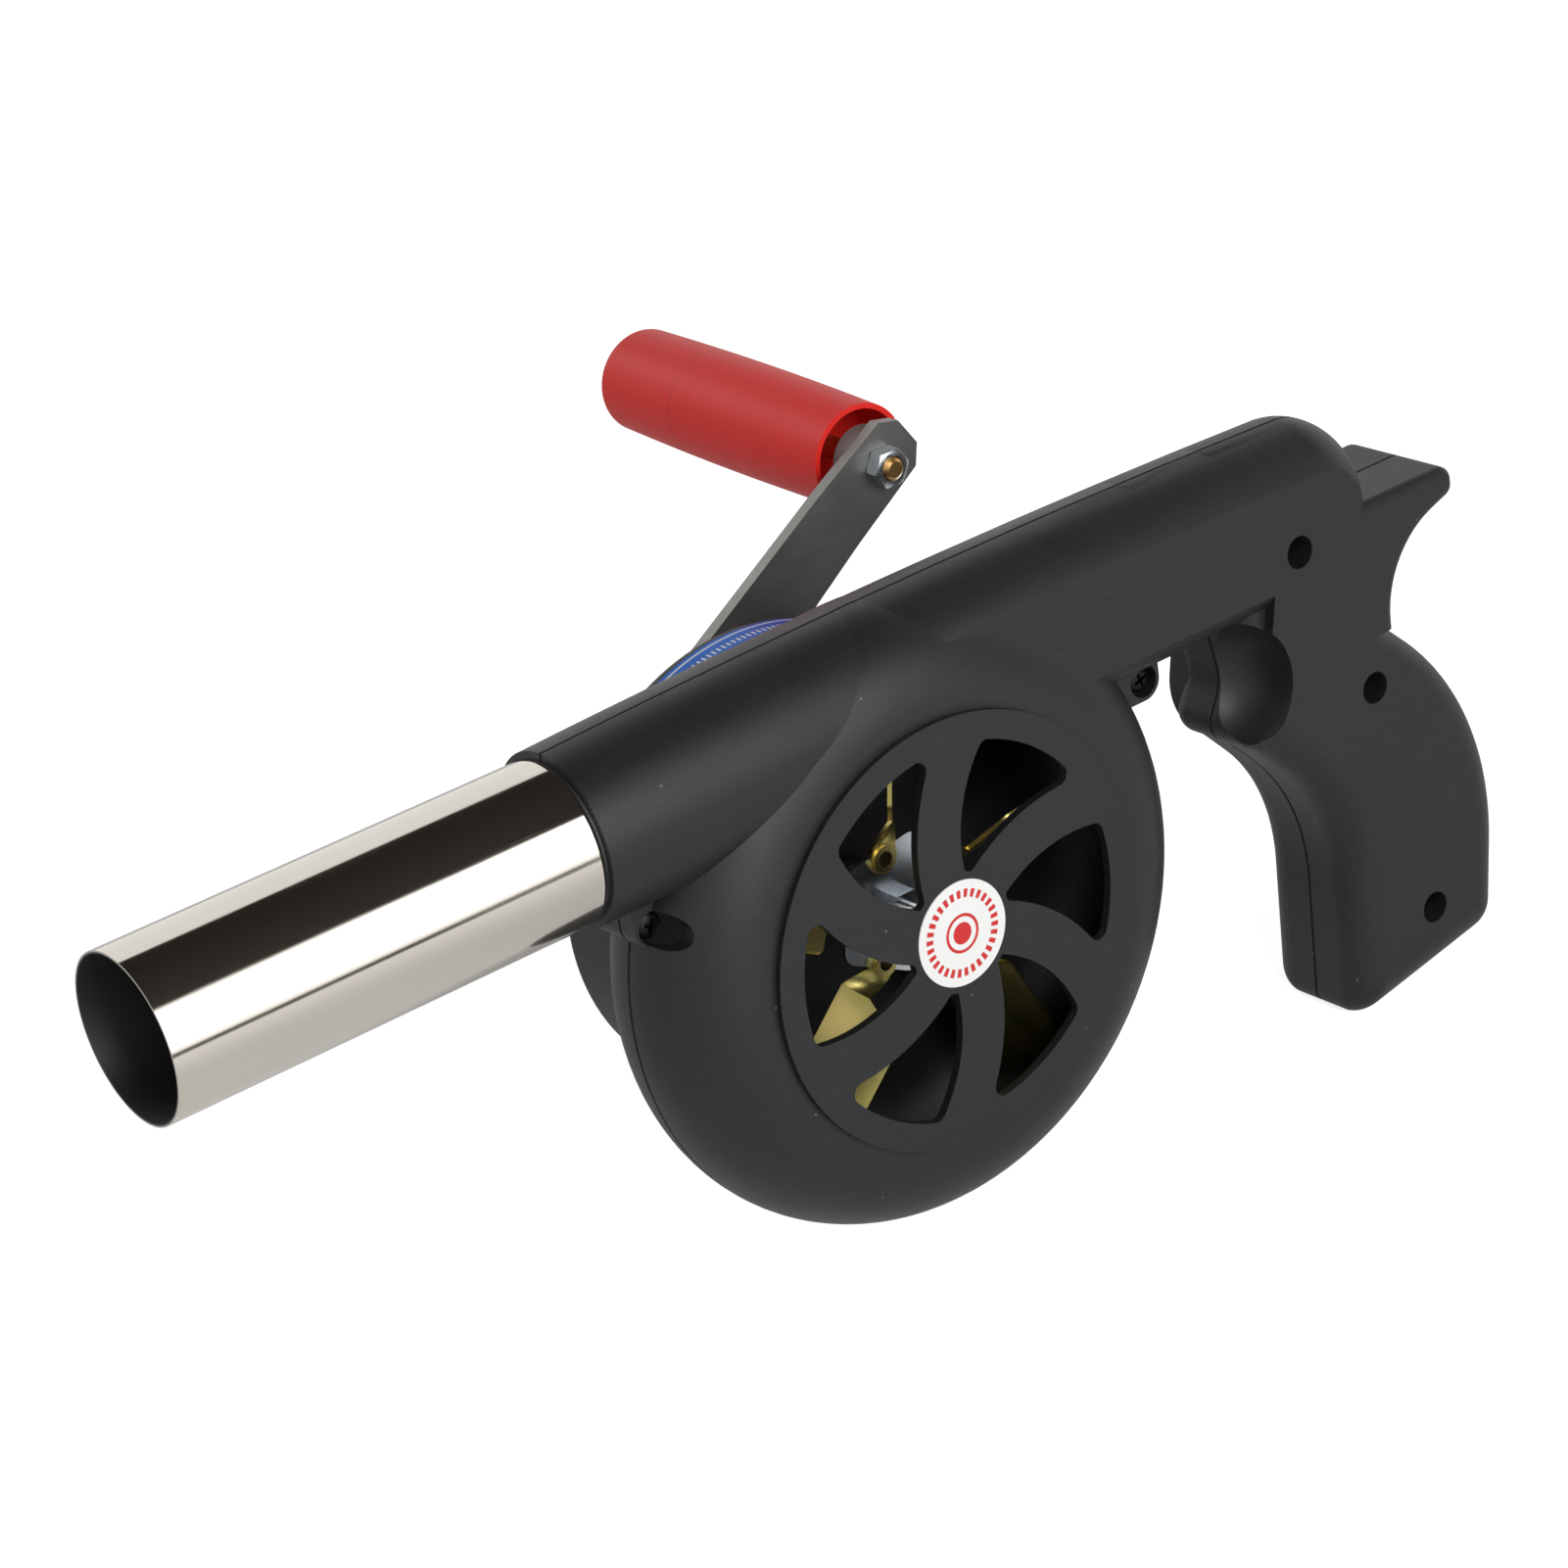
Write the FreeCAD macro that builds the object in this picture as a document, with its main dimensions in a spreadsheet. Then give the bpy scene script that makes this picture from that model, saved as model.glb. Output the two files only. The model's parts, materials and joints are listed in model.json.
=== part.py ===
import FreeCAD, Part
import Sketcher
import math
import os

# A pistol-shaped blower turned by a hand crank. The origin is the centre of the nozzle's mouth:
# the nozzle runs along +X into the housing, the air intake looks towards -Y, the crank is on the
# +Y side and the grip hangs down, towards -Z.

V = FreeCAD.Vector
ORIGIN = V(0, 0, 0)
TO_Y = FreeCAD.Rotation(V(1, 0, 0), -90)
TO_FRONT = FreeCAD.Rotation(V(1, 0, 0), 90)
TO_X = FreeCAD.Rotation(V(0, 1, 0), 90)
SIDE_VIEW = FreeCAD.Placement(ORIGIN, FreeCAD.Rotation(V(1, 0, 0), 90))

SIZES = [
    # nozzle tube and barrel
    ("tube_radius", 17.5, "outside radius of the steel tube"),
    ("tube_wall", 0.6, "wall of the steel tube"),
    ("tube_visible", 97, "length of tube in front of the housing"),
    ("tube_socket", 25, "depth of the tube in the housing"),
    ("tube_fit", 0.05, "radial play of the tube in its socket"),
    ("tube_swage", 0.5, "how much the tube is swaged down for its socket"),
    ("tube_swage_start", 1.5, "start of the swaged end, in front of the housing"),
    ("tube_swage_length", 1, "length of the cone that leads into it"),
    ("barrel_radius", 18.5, "outside radius of the moulded barrel"),
    ("crown_rise", 3.25, "how far the barrel's arched top rises over its round core"),
    ("crown_start", 0.35, "that rise at the barrel's mouth"),
    ("crown_back", 92.6, "highest point of the top, ahead of the barrel's closed end"),
    ("barrel_length", 210.6, "length of the moulded barrel"),
    ("barrel_end_round", 15, "rounding of the barrel's closed end"),
    ("wall", 2.2, "wall of the mouldings"),
    ("margin", 1, "how far a cut reaches past what it cuts"),
    ("flank", 15.5, "half of the width across the housing's flat flanks"),
    ("flank_start", 152, "where the flats start to cut into the barrel"),
    ("flank_full", 192, "where the flats reach their full depth"),
    ("flank_blend", 300, "radius that eases the flats in"),
    # fan casing
    ("fan_x", 174.7, "distance of the fan's axis from the mouth"),
    ("fan_drop", 46.7, "depth of the fan's axis under the barrel's axis"),
    ("scroll_ring", 48.45, "radius where the casing's rounded rim starts"),
    ("scroll_half", 19.75, "half of the casing's thickness and radius of its rim"),
    ("dish_radius", 46.7, "radius of the raised intake dish"),
    ("dish_height", 1.35, "height of the intake dish"),
    ("grille_wall", 2, "thickness of the intake grille"),
    ("grille_recess", 44, "radius of the recess behind the grille"),
    ("slot_outer", 40.6, "outer radius of the intake slots"),
    ("slot_inner", 13, "inner radius of the intake slots"),
    ("slot_round", 2.4, "outer corner radius of the slots"),
    ("slot_inner_round", 0.8, "inner corner radius of the slots"),
    ("spoke_width", 11.3, "width of a grille spoke"),
    ("spoke_arc", 39.24, "radius of a spoke's curved centre line"),
    ("spoke_arc_centre", 39.7, "distance of that curve's centre from the fan's axis"),
    ("spoke_angle", 23.3, "direction of the first spoke's curve centre"),
    ("label_radius", 11.46, "radius of the grille's round label"),
    ("label_thickness", 0.25, "thickness of the labels"),
    # grip
    ("neck_x", 308.4, "back of the neck between barrel and grip"),
    ("neck_z", -30.2, "height of the notch under the spur"),
    ("neck_round", 6, "rounding of the notch"),
    ("back_x", 340, "back of the grip's swell"),
    ("back_z", -60, "height of the swell's corner"),
    ("back_round", 65, "radius of the swell"),
    ("heel_x", 332.8, "back end of the grip's heel"),
    ("heel_z", -113.2, "height of the heel"),
    ("heel_round", 8, "rounding of the heel"),
    ("toe_z", -121.2, "height of the grip's toe"),
    ("toe_x", 287.6, "front end of the grip's toe"),
    ("toe_round", 4, "rounding of the toe"),
    ("front_x", 290.2, "front of the grip"),
    ("front_z", -68.3, "height where the finger rest curves forward"),
    ("front_round", 46, "radius of the finger rest"),
    ("web_top_x", 276, "front of the web at the barrel"),
    ("web_x", 266.5, "front of the web behind the finger stop"),
    ("web_z", -43.4, "height of the web's front"),
    ("grip_top", -2, "top of the grip moulding inside the barrel"),
    ("edge_round", 8, "rounding of the grip's edges"),
    # spur over the hand
    ("spur_reach", 21.6, "reach of the spur behind the neck"),
    ("spur_top", 0.5, "height of the spur's top"),
    ("spur_depth", 6.3, "depth of the spur at its tip"),
    ("spur_round", 3, "rounding of the spur's tip"),
    ("spur_edge", 2.6, "rounding of the spur's edges"),
    ("spur_hollow", 21.6, "radius of the hollow under the spur"),
    ("spur_hollow_z", -13.1, "corner height of that hollow"),
    # trigger-shaped finger stop
    ("stop_half", 13, "half of the finger stop's thickness"),
    ("stop_root", 6, "depth of the stop's root in barrel and web"),
    ("stop_top_x", 265.6, "front of the finger stop at the barrel"),
    ("stop_waist_x", 269.6, "front of the stop's waist"),
    ("stop_waist_z", -32, "height of the stop's waist"),
    ("stop_waist_round", 10, "rounding of the stop's waist"),
    ("stop_tip_x", 263.4, "front of the stop's tip"),
    ("stop_tip_z", -43.8, "height of the stop's tip"),
    ("stop_tip_round", 5.2, "rounding of the stop's tip"),
    ("stop_edge", 4.6, "rounding of the stop's edges"),
    ("bowl_lead", 4.4, "how far the thumb bowl's centre lies ahead of the stop"),
    ("bowl_y", -13.9, "centre of the thumb bowl across the barrel"),
    ("bowl_z", -29.2, "centre height of the thumb bowl"),
    ("bowl_radius", 15.6, "radius of the thumb bowl"),
    # screws of the two halves
    ("screw_head", 3, "radius of a housing screw's head"),
    ("screw_head_height", 2.2, "height of a housing screw's head"),
    ("screw_shank", 1.5, "radius of a housing screw's shank"),
    ("screw_length", 16, "length of a grip screw under its head"),
    ("ear_screw_length", 11.5, "length of an ear screw under its head"),
    ("screw_play", 0.65, "radial play of a screw's head in its hole"),
    ("shank_play", 0.05, "radial play of a screw's shank in its hole"),
    ("screw_seat", -7, "plane that the grip screws' heads sit on"),
    ("ear_screw_seat", -1.8, "plane that the ear screws' heads sit on"),
    ("pilot_room", 0.5, "room past a screw's point"),
    ("post_radius", 5.8, "radius of the posts round the screws"),
    ("top_screw_x", 282.4, "grip screw under the barrel's end"),
    ("top_screw_z", -3.1, "its height"),
    ("mid_screw_x", 300.3, "grip screw in the neck"),
    ("mid_screw_z", -41.7, "its height"),
    ("low_screw_x", 312.1, "grip screw in the heel"),
    ("low_screw_z", -100.7, "its height"),
    ("ear_radius", 4.5, "corner radius of the ears beside the casing"),
    ("ear_web", 12, "width of an ear's web, from its screw to the casing"),
    ("ear_near", -5, "near face of the ears"),
    ("ear_far", 11, "far face of the ears"),
    ("front_ear_reach", 62.4, "front ear ahead of the fan's axis"),
    ("front_ear_z", -23.7, "its height"),
    ("rear_ear_reach", 69.2, "rear ear behind the fan's axis"),
    ("rear_ear_z", -21.1, "its height"),
    # gear case
    ("cover_radius", 50.9, "outside radius of the gear cover"),
    ("cover_start", 19.9, "plane of the cover's open rim"),
    ("cover_face", 47.9, "plane of the cover's outer face"),
    ("cover_wall", 2, "wall of the cover"),
    ("cover_round", 2.5, "rounding of the cover's rim"),
    ("cover_gap", 0.1, "gap between the cover's open rim and its seat"),
    ("spigot_height", 3, "height of the rim that centres the cover"),
    ("spigot_wall", 1.6, "wall of that rim"),
    ("spigot_play", 0.15, "radial play of the cover on that rim"),
    ("cover_screw_ring", 42.8, "radius of the cover screws' circle"),
    ("cover_post", 3.2, "radius of the cover screws' posts"),
    ("cover_post_depth", 10, "depth of those posts under the cover's inner face"),
    ("cover_screw_head", 2.7, "radius of a cover screw's head"),
    ("cover_screw_head_height", 1.7, "height of a cover screw's head"),
    ("cover_head_depth", 1.8, "depth of the seats of those heads in the cover's face"),
    ("cover_head_play", 0.3, "radial play of those heads in the cover"),
    ("cover_screw_shank", 1.2, "radius of a cover screw's shank"),
    ("cover_screw_length", 12, "length of a cover screw's shank"),
    ("cover_label_start", 24.2, "edge of the band printed round the cover"),
    ("cover_label_end", 44.4, "its other edge"),
    ("cover_label_angle", 58, "direction where that band starts"),
    ("cover_label_sweep_angle", 58, "angle that the band takes round the cover"),
    # gears
    ("tooth_module", 1, "module of all the gears"),
    ("pressure_angle", 25, "pressure angle of the teeth"),
    ("addendum_ratio", 0.8, "height of a tooth over the pitch circle, in modules"),
    ("dedendum_ratio", 1.05, "depth of a tooth under the pitch circle, in modules"),
    ("backlash", 0.2, "play between the teeth"),
    ("crank_teeth", 38, "teeth of the crank gear"),
    ("small_teeth", 12, "teeth of the compound gear's pinion"),
    ("large_teeth", 36, "teeth of the compound gear's wheel"),
    ("pinion_teeth", 10, "teeth of the impeller's pinion"),
    ("first_stage", 24, "inner plane of the impeller's pinion and its wheel"),
    ("first_stage_width", 7, "face width of that pair"),
    ("second_stage", 33, "inner plane of the crank gear and its pinion"),
    ("second_stage_width", 8, "face width of that pair"),
    ("crank_x", -13.57, "crank axis beside the fan's axis"),
    ("crank_z", 21.32, "crank axis above the fan's axis"),
    # shafts and bearings
    ("shaft_radius", 2.5, "radius of the impeller shaft"),
    ("shaft_start", -8, "front end of the impeller shaft"),
    ("shaft_end", 45, "rear end of the impeller shaft"),
    ("bush_wall", 1.5, "wall of the impeller's bushes"),
    ("running_fit", 0.05, "radial play of a turning fit"),
    ("boss_wall", 2.6, "wall of a bearing boss"),
    ("cover_boss_wall", 1.5, "wall of the cover's two inner bosses"),
    ("impeller_boss_height", 2.6, "height of the impeller's boss over the case's floor"),
    ("pivot_boss_height", 3.5, "height of the other two bosses over that floor"),
    ("pivot_floor", 1, "floor left under the two pivots"),
    ("rear_boss_start", 13.5, "front of the casing's bearing boss"),
    ("idler_pin_radius", 2, "radius of the compound gear's pin"),
    ("crank_shaft_radius", 4, "radius of the crank shaft"),
    ("crank_pivot_radius", 3, "radius of the crank shaft's inner end"),
    ("crank_bush_radius", 6, "outside radius of the crank bush"),
    ("crank_bush_start", 41.6, "inner end of the crank bush"),
    ("crank_bush_end", 53, "outer end of the crank bush"),
    ("crank_bush_proud", 0.8, "how far that bush stands out of its boss"),
    ("axial_play", 0.4, "end play of the turning parts"),
    # impeller
    ("blade_count", 5, "number of impeller blades"),
    ("blade_first_angle", 26.7, "direction of the first blade's eyelet"),
    ("blade_thickness", 0.9, "thickness of the blade steel"),
    ("eyelet_ring", 12, "radius of the eyelets' circle"),
    ("eyelet_bore", 1.7, "radius of an eyelet's hole"),
    ("eyelet_radius", 2.2, "radius of an eyelet's barrel"),
    ("eyelet_flange", 2.9, "radius of an eyelet's rolled edge"),
    ("eyelet_rim", 0.5, "thickness of that edge"),
    ("tab_radius", 3.4, "radius of the tab round the eyelet"),
    ("blade_sweep_angle", -19, "turn of a blade from the radius through its eyelet"),
    ("blade_twist_angle", 50, "twist from the tab to the paddle"),
    ("neck_half", 3, "half of the neck's width"),
    ("neck_start", 2.6, "where the neck leaves the tab"),
    ("paddle_start", 8.3, "where the twisted neck meets the paddle"),
    ("paddle_end", 43, "outer end of the paddle"),
    ("paddle_width", 16.5, "width of the paddle"),
    ("paddle_back", -5, "back edge of the paddle, across the blade"),
    ("paddle_back_y", 2.5, "back edge of the paddle, along the axis"),
    ("paddle_shoulder", 14.2, "where the paddle reaches its full width"),
    ("paddle_root", 6.5, "width of the paddle at its root"),
    ("paddle_round", 2, "rounding of the paddle's corners"),
    ("hub_corner", 16.7, "radius of the hub plate's corners"),
    ("hub_round", 3.5, "rounding of the hub plate's corners"),
    ("hub_thickness", 1, "thickness of the hub plate"),
    ("collar_radius", 6, "radius of the impeller's collar"),
    # crank and handle
    ("arm_length", 83.15, "distance of the handle from the crank's axis"),
    ("arm_angle", 33.2, "direction of the crank arm at rest"),
    ("arm_thickness", 3, "thickness of the crank arm"),
    ("arm_seat", 58.6, "plane of the crank arm's inner face"),
    ("arm_hub_half", 10.5, "half of the arm's width at the hub"),
    ("arm_tip_half", 7.7, "half of the arm's width at the handle"),
    ("arm_tip_chamfer", 3.8, "chamfer of the arm's ends"),
    ("arm_overhang", 9.5, "length of the arm beyond the handle's axis"),
    ("arm_bend", 16, "distance of the bend from the handle's axis"),
    ("arm_bend_round", 40, "radius of that bend"),
    ("handle_lean_angle", 2.3, "lean of the handle, set by the arm's bent tip"),
    ("bolt_radius", 2.5, "radius of the handle bolt"),
    ("bolt_length", 90, "length of the handle bolt under its head"),
    ("bolt_proud", 1, "thread that stands proud of the nut"),
    ("bolt_head", 4.5, "radius of the bolt's head"),
    ("bolt_head_height", 3, "height of the bolt's head"),
    ("nut_flats", 8, "width across the handle nut's flats"),
    ("nut_height", 4, "height of the handle nut"),
    ("spacer_radius", 7.5, "radius of the spacer behind the handle"),
    ("spacer_length", 4.6, "length of the spacer"),
    ("handle_gap", 0.4, "end play of the handle"),
    ("handle_head_play", 1, "radial play of the bolt's head in the handle"),
    ("handle_length", 85.2, "length of the handle"),
    ("handle_end", 12.05, "radius of the handle's ends"),
    ("handle_belly", 12.6, "radius of the handle's middle"),
    ("belly_ratio", 0.9, "share of the handle's length that its curve takes"),
    ("handle_round", 3, "rounding of the handle's outer end"),
    ("handle_socket", 10.8, "radius of the handle's open socket"),
    ("handle_socket_depth", 14, "depth of that socket"),
    ("hub_nut_flats", 10, "width across the crank nut's flats"),
    ("hub_nut_height", 5, "height of the crank nut"),
    ("washer_radius", 6, "radius of the crank's washer"),
    ("washer_thickness", 1, "thickness of that washer"),
]

COVER_SCREW_ANGLES = (50, -25, -100, 226)
SLOT_COUNT = 6

doc = FreeCAD.newDocument("HandCrankFan")
sheet = doc.addObject("Spreadsheet::Sheet", "size")
sheet.set("A1", "name")
sheet.set("B1", "value")
sheet.set("C1", "what it is")
for row, (alias, value, note) in enumerate(SIZES, start=2):
    sheet.set("A%d" % row, alias)
    sheet.set("B%d" % row, str(value))
    sheet.set("C%d" % row, note)
    sheet.setAlias("B%d" % row, alias)
doc.recompute()


class Length:
    """A value together with the spreadsheet formula that gives it."""

    def __init__(self, value, formula):
        self.value = value
        self.formula = formula

    def __add__(self, other):
        other = length(other)
        return Length(self.value + other.value, "(%s + %s)" % (self.formula, other.formula))

    def __sub__(self, other):
        other = length(other)
        return Length(self.value - other.value, "(%s - %s)" % (self.formula, other.formula))

    def __mul__(self, other):
        other = length(other)
        return Length(self.value * other.value, "(%s * %s)" % (self.formula, other.formula))

    def __truediv__(self, other):
        other = length(other)
        return Length(self.value / other.value, "(%s / %s)" % (self.formula, other.formula))

    def __radd__(self, other):
        return length(other) + self

    def __rsub__(self, other):
        return length(other) - self

    def __rmul__(self, other):
        return length(other) * self

    def __neg__(self):
        return Length(-self.value, "(-1 * %s)" % self.formula)


def length(item):
    """A plain number as a Length; a Length as it is."""
    if isinstance(item, Length):
        return item
    return Length(float(item), "(%r)" % float(item))


def size(alias):
    """The named value of the spreadsheet."""
    return Length(float(sheet.get(alias)), "size." + alias)


def sine(angle):
    angle = length(angle)
    return Length(math.sin(math.radians(angle.value)), "sin(%s)" % angle.formula)


def cosine(angle):
    angle = length(angle)
    return Length(math.cos(math.radians(angle.value)), "cos(%s)" % angle.formula)


def root(area):
    return Length(math.sqrt(area.value), "sqrt(%s)" % area.formula)


def bind(thing, field, amount):
    """Drives one property of an object by the spreadsheet."""
    thing.setExpression(field, length(amount).formula)


def put(thing, x, y, z):
    """Drives the place of an object's own origin."""
    bind(thing, "Placement.Base.x", x)
    bind(thing, "Placement.Base.y", y)
    bind(thing, "Placement.Base.z", z)


def rod_y(name, radius, start, end, x, z):
    """A cylinder across the blower, from plane y = start to plane y = end."""
    rod = doc.addObject("Part::Cylinder", name)
    rod.Placement = FreeCAD.Placement(ORIGIN, TO_Y)
    bind(rod, "Radius", radius)
    bind(rod, "Height", length(end) - start)
    put(rod, x, start, z)
    return rod


def rod_x(name, radius, start, end):
    """A cylinder on the barrel's axis, from x = start to x = end."""
    rod = doc.addObject("Part::Cylinder", name)
    rod.Placement = FreeCAD.Placement(ORIGIN, TO_X)
    bind(rod, "Radius", radius)
    bind(rod, "Height", length(end) - start)
    put(rod, start, 0, 0)
    return rod


def block(name, low, high):
    """A box between two corners."""
    box = doc.addObject("Part::Box", name)
    for field, near, far in zip(("Length", "Width", "Height"), low, high):
        bind(box, field, length(far) - near)
    put(box, *low)
    return box


def fuse(name, shapes):
    joined = doc.addObject("Part::MultiFuse", name)
    joined.Shapes = shapes
    joined.Refine = True
    return joined


def common(name, first, second):
    shared = doc.addObject("Part::Common", name)
    shared.Base = first
    shared.Tool = second
    shared.Refine = True
    return shared


def cut(name, base, tools):
    """The base without the tools; more than one tool is fused first."""
    left = doc.addObject("Part::Cut", name)
    left.Base = base
    left.Tool = tools[0] if len(tools) == 1 else fuse(name + "_tools", tools)
    left.Refine = True
    return left


def corner_arc(before, corner, after, radius):
    """Tangent points and middle of the arc that rounds a corner, as plain numbers."""
    into = (corner - before).normalize()
    out = (after - corner).normalize()
    half_turn = into.getAngle(out) / 2
    reach = radius * math.tan(half_turn)
    start = corner - into * reach
    end = corner + out * reach
    middle = corner + (out - into).normalize() * radius * (1 / math.cos(half_turn) - 1)
    return start, middle, end


def pin_point(sketch, geometry, end, x, z):
    """Constrains one end of an element to a driven place."""
    for kind, amount in (("DistanceX", x), ("DistanceY", z)):
        index = sketch.addConstraint(Sketcher.Constraint(kind, -1, 1, geometry, end, amount.value))
        bind(sketch, "Constraints[%d]" % index, amount)


def rounded_outline(name, corners, holder=None):
    """A closed sketch in its own XY plane through (x, z, radius) corners; radius 0 stays sharp."""
    corners = [tuple(length(value) for value in corner) for corner in corners]
    points = [V(x.value, z.value, 0) for x, z, _ in corners]
    if holder is None:
        sketch = doc.addObject("Sketcher::SketchObject", name)
    else:
        sketch = holder.newObject("Sketcher::SketchObject", name)
    arcs = []
    for i, (_, _, radius) in enumerate(corners):
        if radius.value > 0:
            arcs.append(corner_arc(points[i - 1], points[i], points[(i + 1) % len(points)], radius.value))
        else:
            arcs.append((points[i], points[i], points[i]))
    marks = [sketch.addGeometry(Part.Point(point), True) for point in points]
    lines = []
    for i in range(len(points)):
        after = (i + 1) % len(points)
        lines.append(sketch.addGeometry(Part.LineSegment(arcs[i][2], arcs[after][0]), False))
    for i, (x, z, radius) in enumerate(corners):
        pin_point(sketch, marks[i], 1, x, z)
        before = lines[i - 1]
        if radius.value > 0:
            start, middle, end = arcs[i]
            turns_left = (middle - start).cross(end - middle).z > 0
            arc = sketch.addGeometry(Part.Arc(start, middle, end) if turns_left
                                     else Part.Arc(end, middle, start), False)
            first, last = (1, 2) if turns_left else (2, 1)
            sketch.addConstraint(Sketcher.Constraint("Tangent", before, 2, arc, first))
            sketch.addConstraint(Sketcher.Constraint("Tangent", arc, last, lines[i], 1))
            index = sketch.addConstraint(Sketcher.Constraint("Radius", arc, radius.value))
            bind(sketch, "Constraints[%d]" % index, radius)
            sketch.addConstraint(Sketcher.Constraint("PointOnObject", marks[i], 1, before))
            sketch.addConstraint(Sketcher.Constraint("PointOnObject", marks[i], 1, lines[i]))
        else:
            sketch.addConstraint(Sketcher.Constraint("Coincident", before, 2, marks[i], 1))
            sketch.addConstraint(Sketcher.Constraint("Coincident", lines[i], 1, marks[i], 1))
    return sketch


def plate(name, sketch, thickness, both_ways=False):
    """A sketch given thickness along its own normal."""
    extrusion = doc.addObject("Part::Extrusion", name)
    extrusion.Base = sketch
    extrusion.DirMode = "Normal"
    extrusion.Solid = True
    extrusion.Symmetric = both_ways
    bind(extrusion, "LengthFwd", thickness)
    return extrusion


def turned(name, sketch):
    """A sketch turned once about its own X axis, which is then laid along +Z."""
    lathe = doc.addObject("Part::Revolution", name)
    lathe.Source = sketch
    lathe.Axis = V(1, 0, 0)
    lathe.Base = ORIGIN
    lathe.Angle = 360
    lathe.Solid = True
    return lathe


def round_edges(name, base, radius, chosen):
    """Fillets the edges of base for which chosen(edge) is true."""
    doc.recompute()
    picked = [i for i, edge in enumerate(base.Shape.Edges, start=1) if chosen(edge)]
    fillet = doc.addObject("Part::Fillet", name)
    fillet.Base = base
    fillet.Edges = [(i, radius.value, radius.value) for i in picked]
    return fillet


def on_plane_y(edge, plane):
    box = edge.BoundBox
    return abs(box.YMin - plane) < 1e-4 and abs(box.YMax - plane) < 1e-4


fan_x = size("fan_x")
fan_z = -size("fan_drop")
wall = size("wall")
flank = size("flank")
barrel_start = size("tube_visible")
barrel_end = barrel_start + size("barrel_length")
socket_end = barrel_start + size("tube_socket")
swage_start = barrel_start - size("tube_swage_start")
swage_end = swage_start + size("tube_swage_length")
swaged_radius = size("tube_radius") - size("tube_swage")
margin = size("margin")


# ---- forms of the housing, each also made smaller by the wall for the hollow inside ----

def crowned_rod(name):
    """The barrel's own form: a round rod, and a ring of great radius that arches its top."""
    crown_x = barrel_end - size("crown_back")
    reach = crown_x - barrel_start
    ring_radius = reach * reach / (2 * (size("crown_rise") - size("crown_start")))
    ring = doc.addObject("Part::Torus", name + "_ring")
    ring.Placement = FreeCAD.Placement(ORIGIN, TO_Y)
    bind(ring, "Radius1", ring_radius)
    bind(ring, "Radius2", size("barrel_radius"))
    put(ring, crown_x, 0, size("crown_rise") - ring_radius)
    span = 2 * size("barrel_radius")
    room = block(name + "_room", (barrel_start, -span, -span), (barrel_end, span, span))
    rod = rod_x(name + "_core", size("barrel_radius"), barrel_start, barrel_end)
    return fuse(name, [rod, common(name + "_crown", ring, room)])


def barrel_form(name, rod, inset):
    """The barrel from its rod: a rounded end, and sides that turn flat behind the nozzle."""
    end = (barrel_end - inset).value
    rounded = round_edges(name + "_rounded", rod, size("barrel_end_round") - inset,
                          lambda edge: abs(edge.BoundBox.XMin - end) < 1e-4)
    outside = size("barrel_radius") + margin
    past_end = barrel_end + margin
    flats = []
    for side, sign in (("near", -1), ("far", 1)):
        outer = sign * outside
        inner = sign * (flank - inset)
        path = [
            (size("flank_start"), outer, 0),
            (size("flank_start"), sign * (size("barrel_radius") - inset), 0),
            (size("flank_full"), inner, size("flank_blend")),
            (past_end, inner, 0),
            (past_end, outer, 0),
        ]
        sketch = rounded_outline("%s_%s_flat_outline" % (name, side), path)
        flats.append(plate("%s_%s_flat" % (name, side), sketch, 3 * outside, True))
    return cut(name, rounded, flats)


def scroll_form(name, inset):
    """The fan casing: a flat disc with a round rim, whose top runs into the barrel."""
    half = size("scroll_half") - inset
    rim = doc.addObject("Part::Torus", name + "_rim")
    rim.Placement = FreeCAD.Placement(ORIGIN, TO_Y)
    bind(rim, "Radius1", size("scroll_ring"))
    bind(rim, "Radius2", half)
    put(rim, fan_x, 0, fan_z)
    disc = rod_y(name + "_disc", size("scroll_ring"), -half, half, fan_x, fan_z)
    return fuse(name, [rim, disc])


def grip_outline(name):
    corners = [
        (size("web_top_x"), size("grip_top"), 0),
        (size("neck_x"), size("grip_top"), 0),
        (size("neck_x"), size("neck_z"), size("neck_round")),
        (size("back_x"), size("back_z"), size("back_round")),
        (size("heel_x"), size("heel_z"), size("heel_round")),
        (size("toe_x"), size("toe_z"), size("toe_round")),
        (size("front_x"), size("front_z"), size("front_round")),
        (size("web_x"), size("web_z"), 0),
    ]
    sketch = rounded_outline(name, corners)
    sketch.Placement = SIDE_VIEW
    return sketch


def grip_form(name, inset):
    """The grip, its front and back edges rounded towards both flanks."""
    outline = grip_outline(name + "_outline")
    if length(inset).value > 0:
        smaller = doc.addObject("Part::Offset2D", name + "_inset")
        smaller.Source = outline
        smaller.Join = 2
        bind(smaller, "Value", -inset)
        outline = smaller
    body = plate(name + "_plate", outline, 2 * (flank - inset), True)
    side = (flank - inset).value

    def is_long_edge(edge):
        box = edge.BoundBox
        on_side = on_plane_y(edge, side) or on_plane_y(edge, -side)
        is_level = box.ZLength < box.XLength / 4
        before_neck = box.XMax < (size("neck_x") - size("neck_round")).value
        is_web = box.ZMax > (size("web_z") + margin).value and before_neck
        return on_side and not is_level and not is_web

    return round_edges(name, body, size("edge_round") - inset, is_long_edge)


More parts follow.
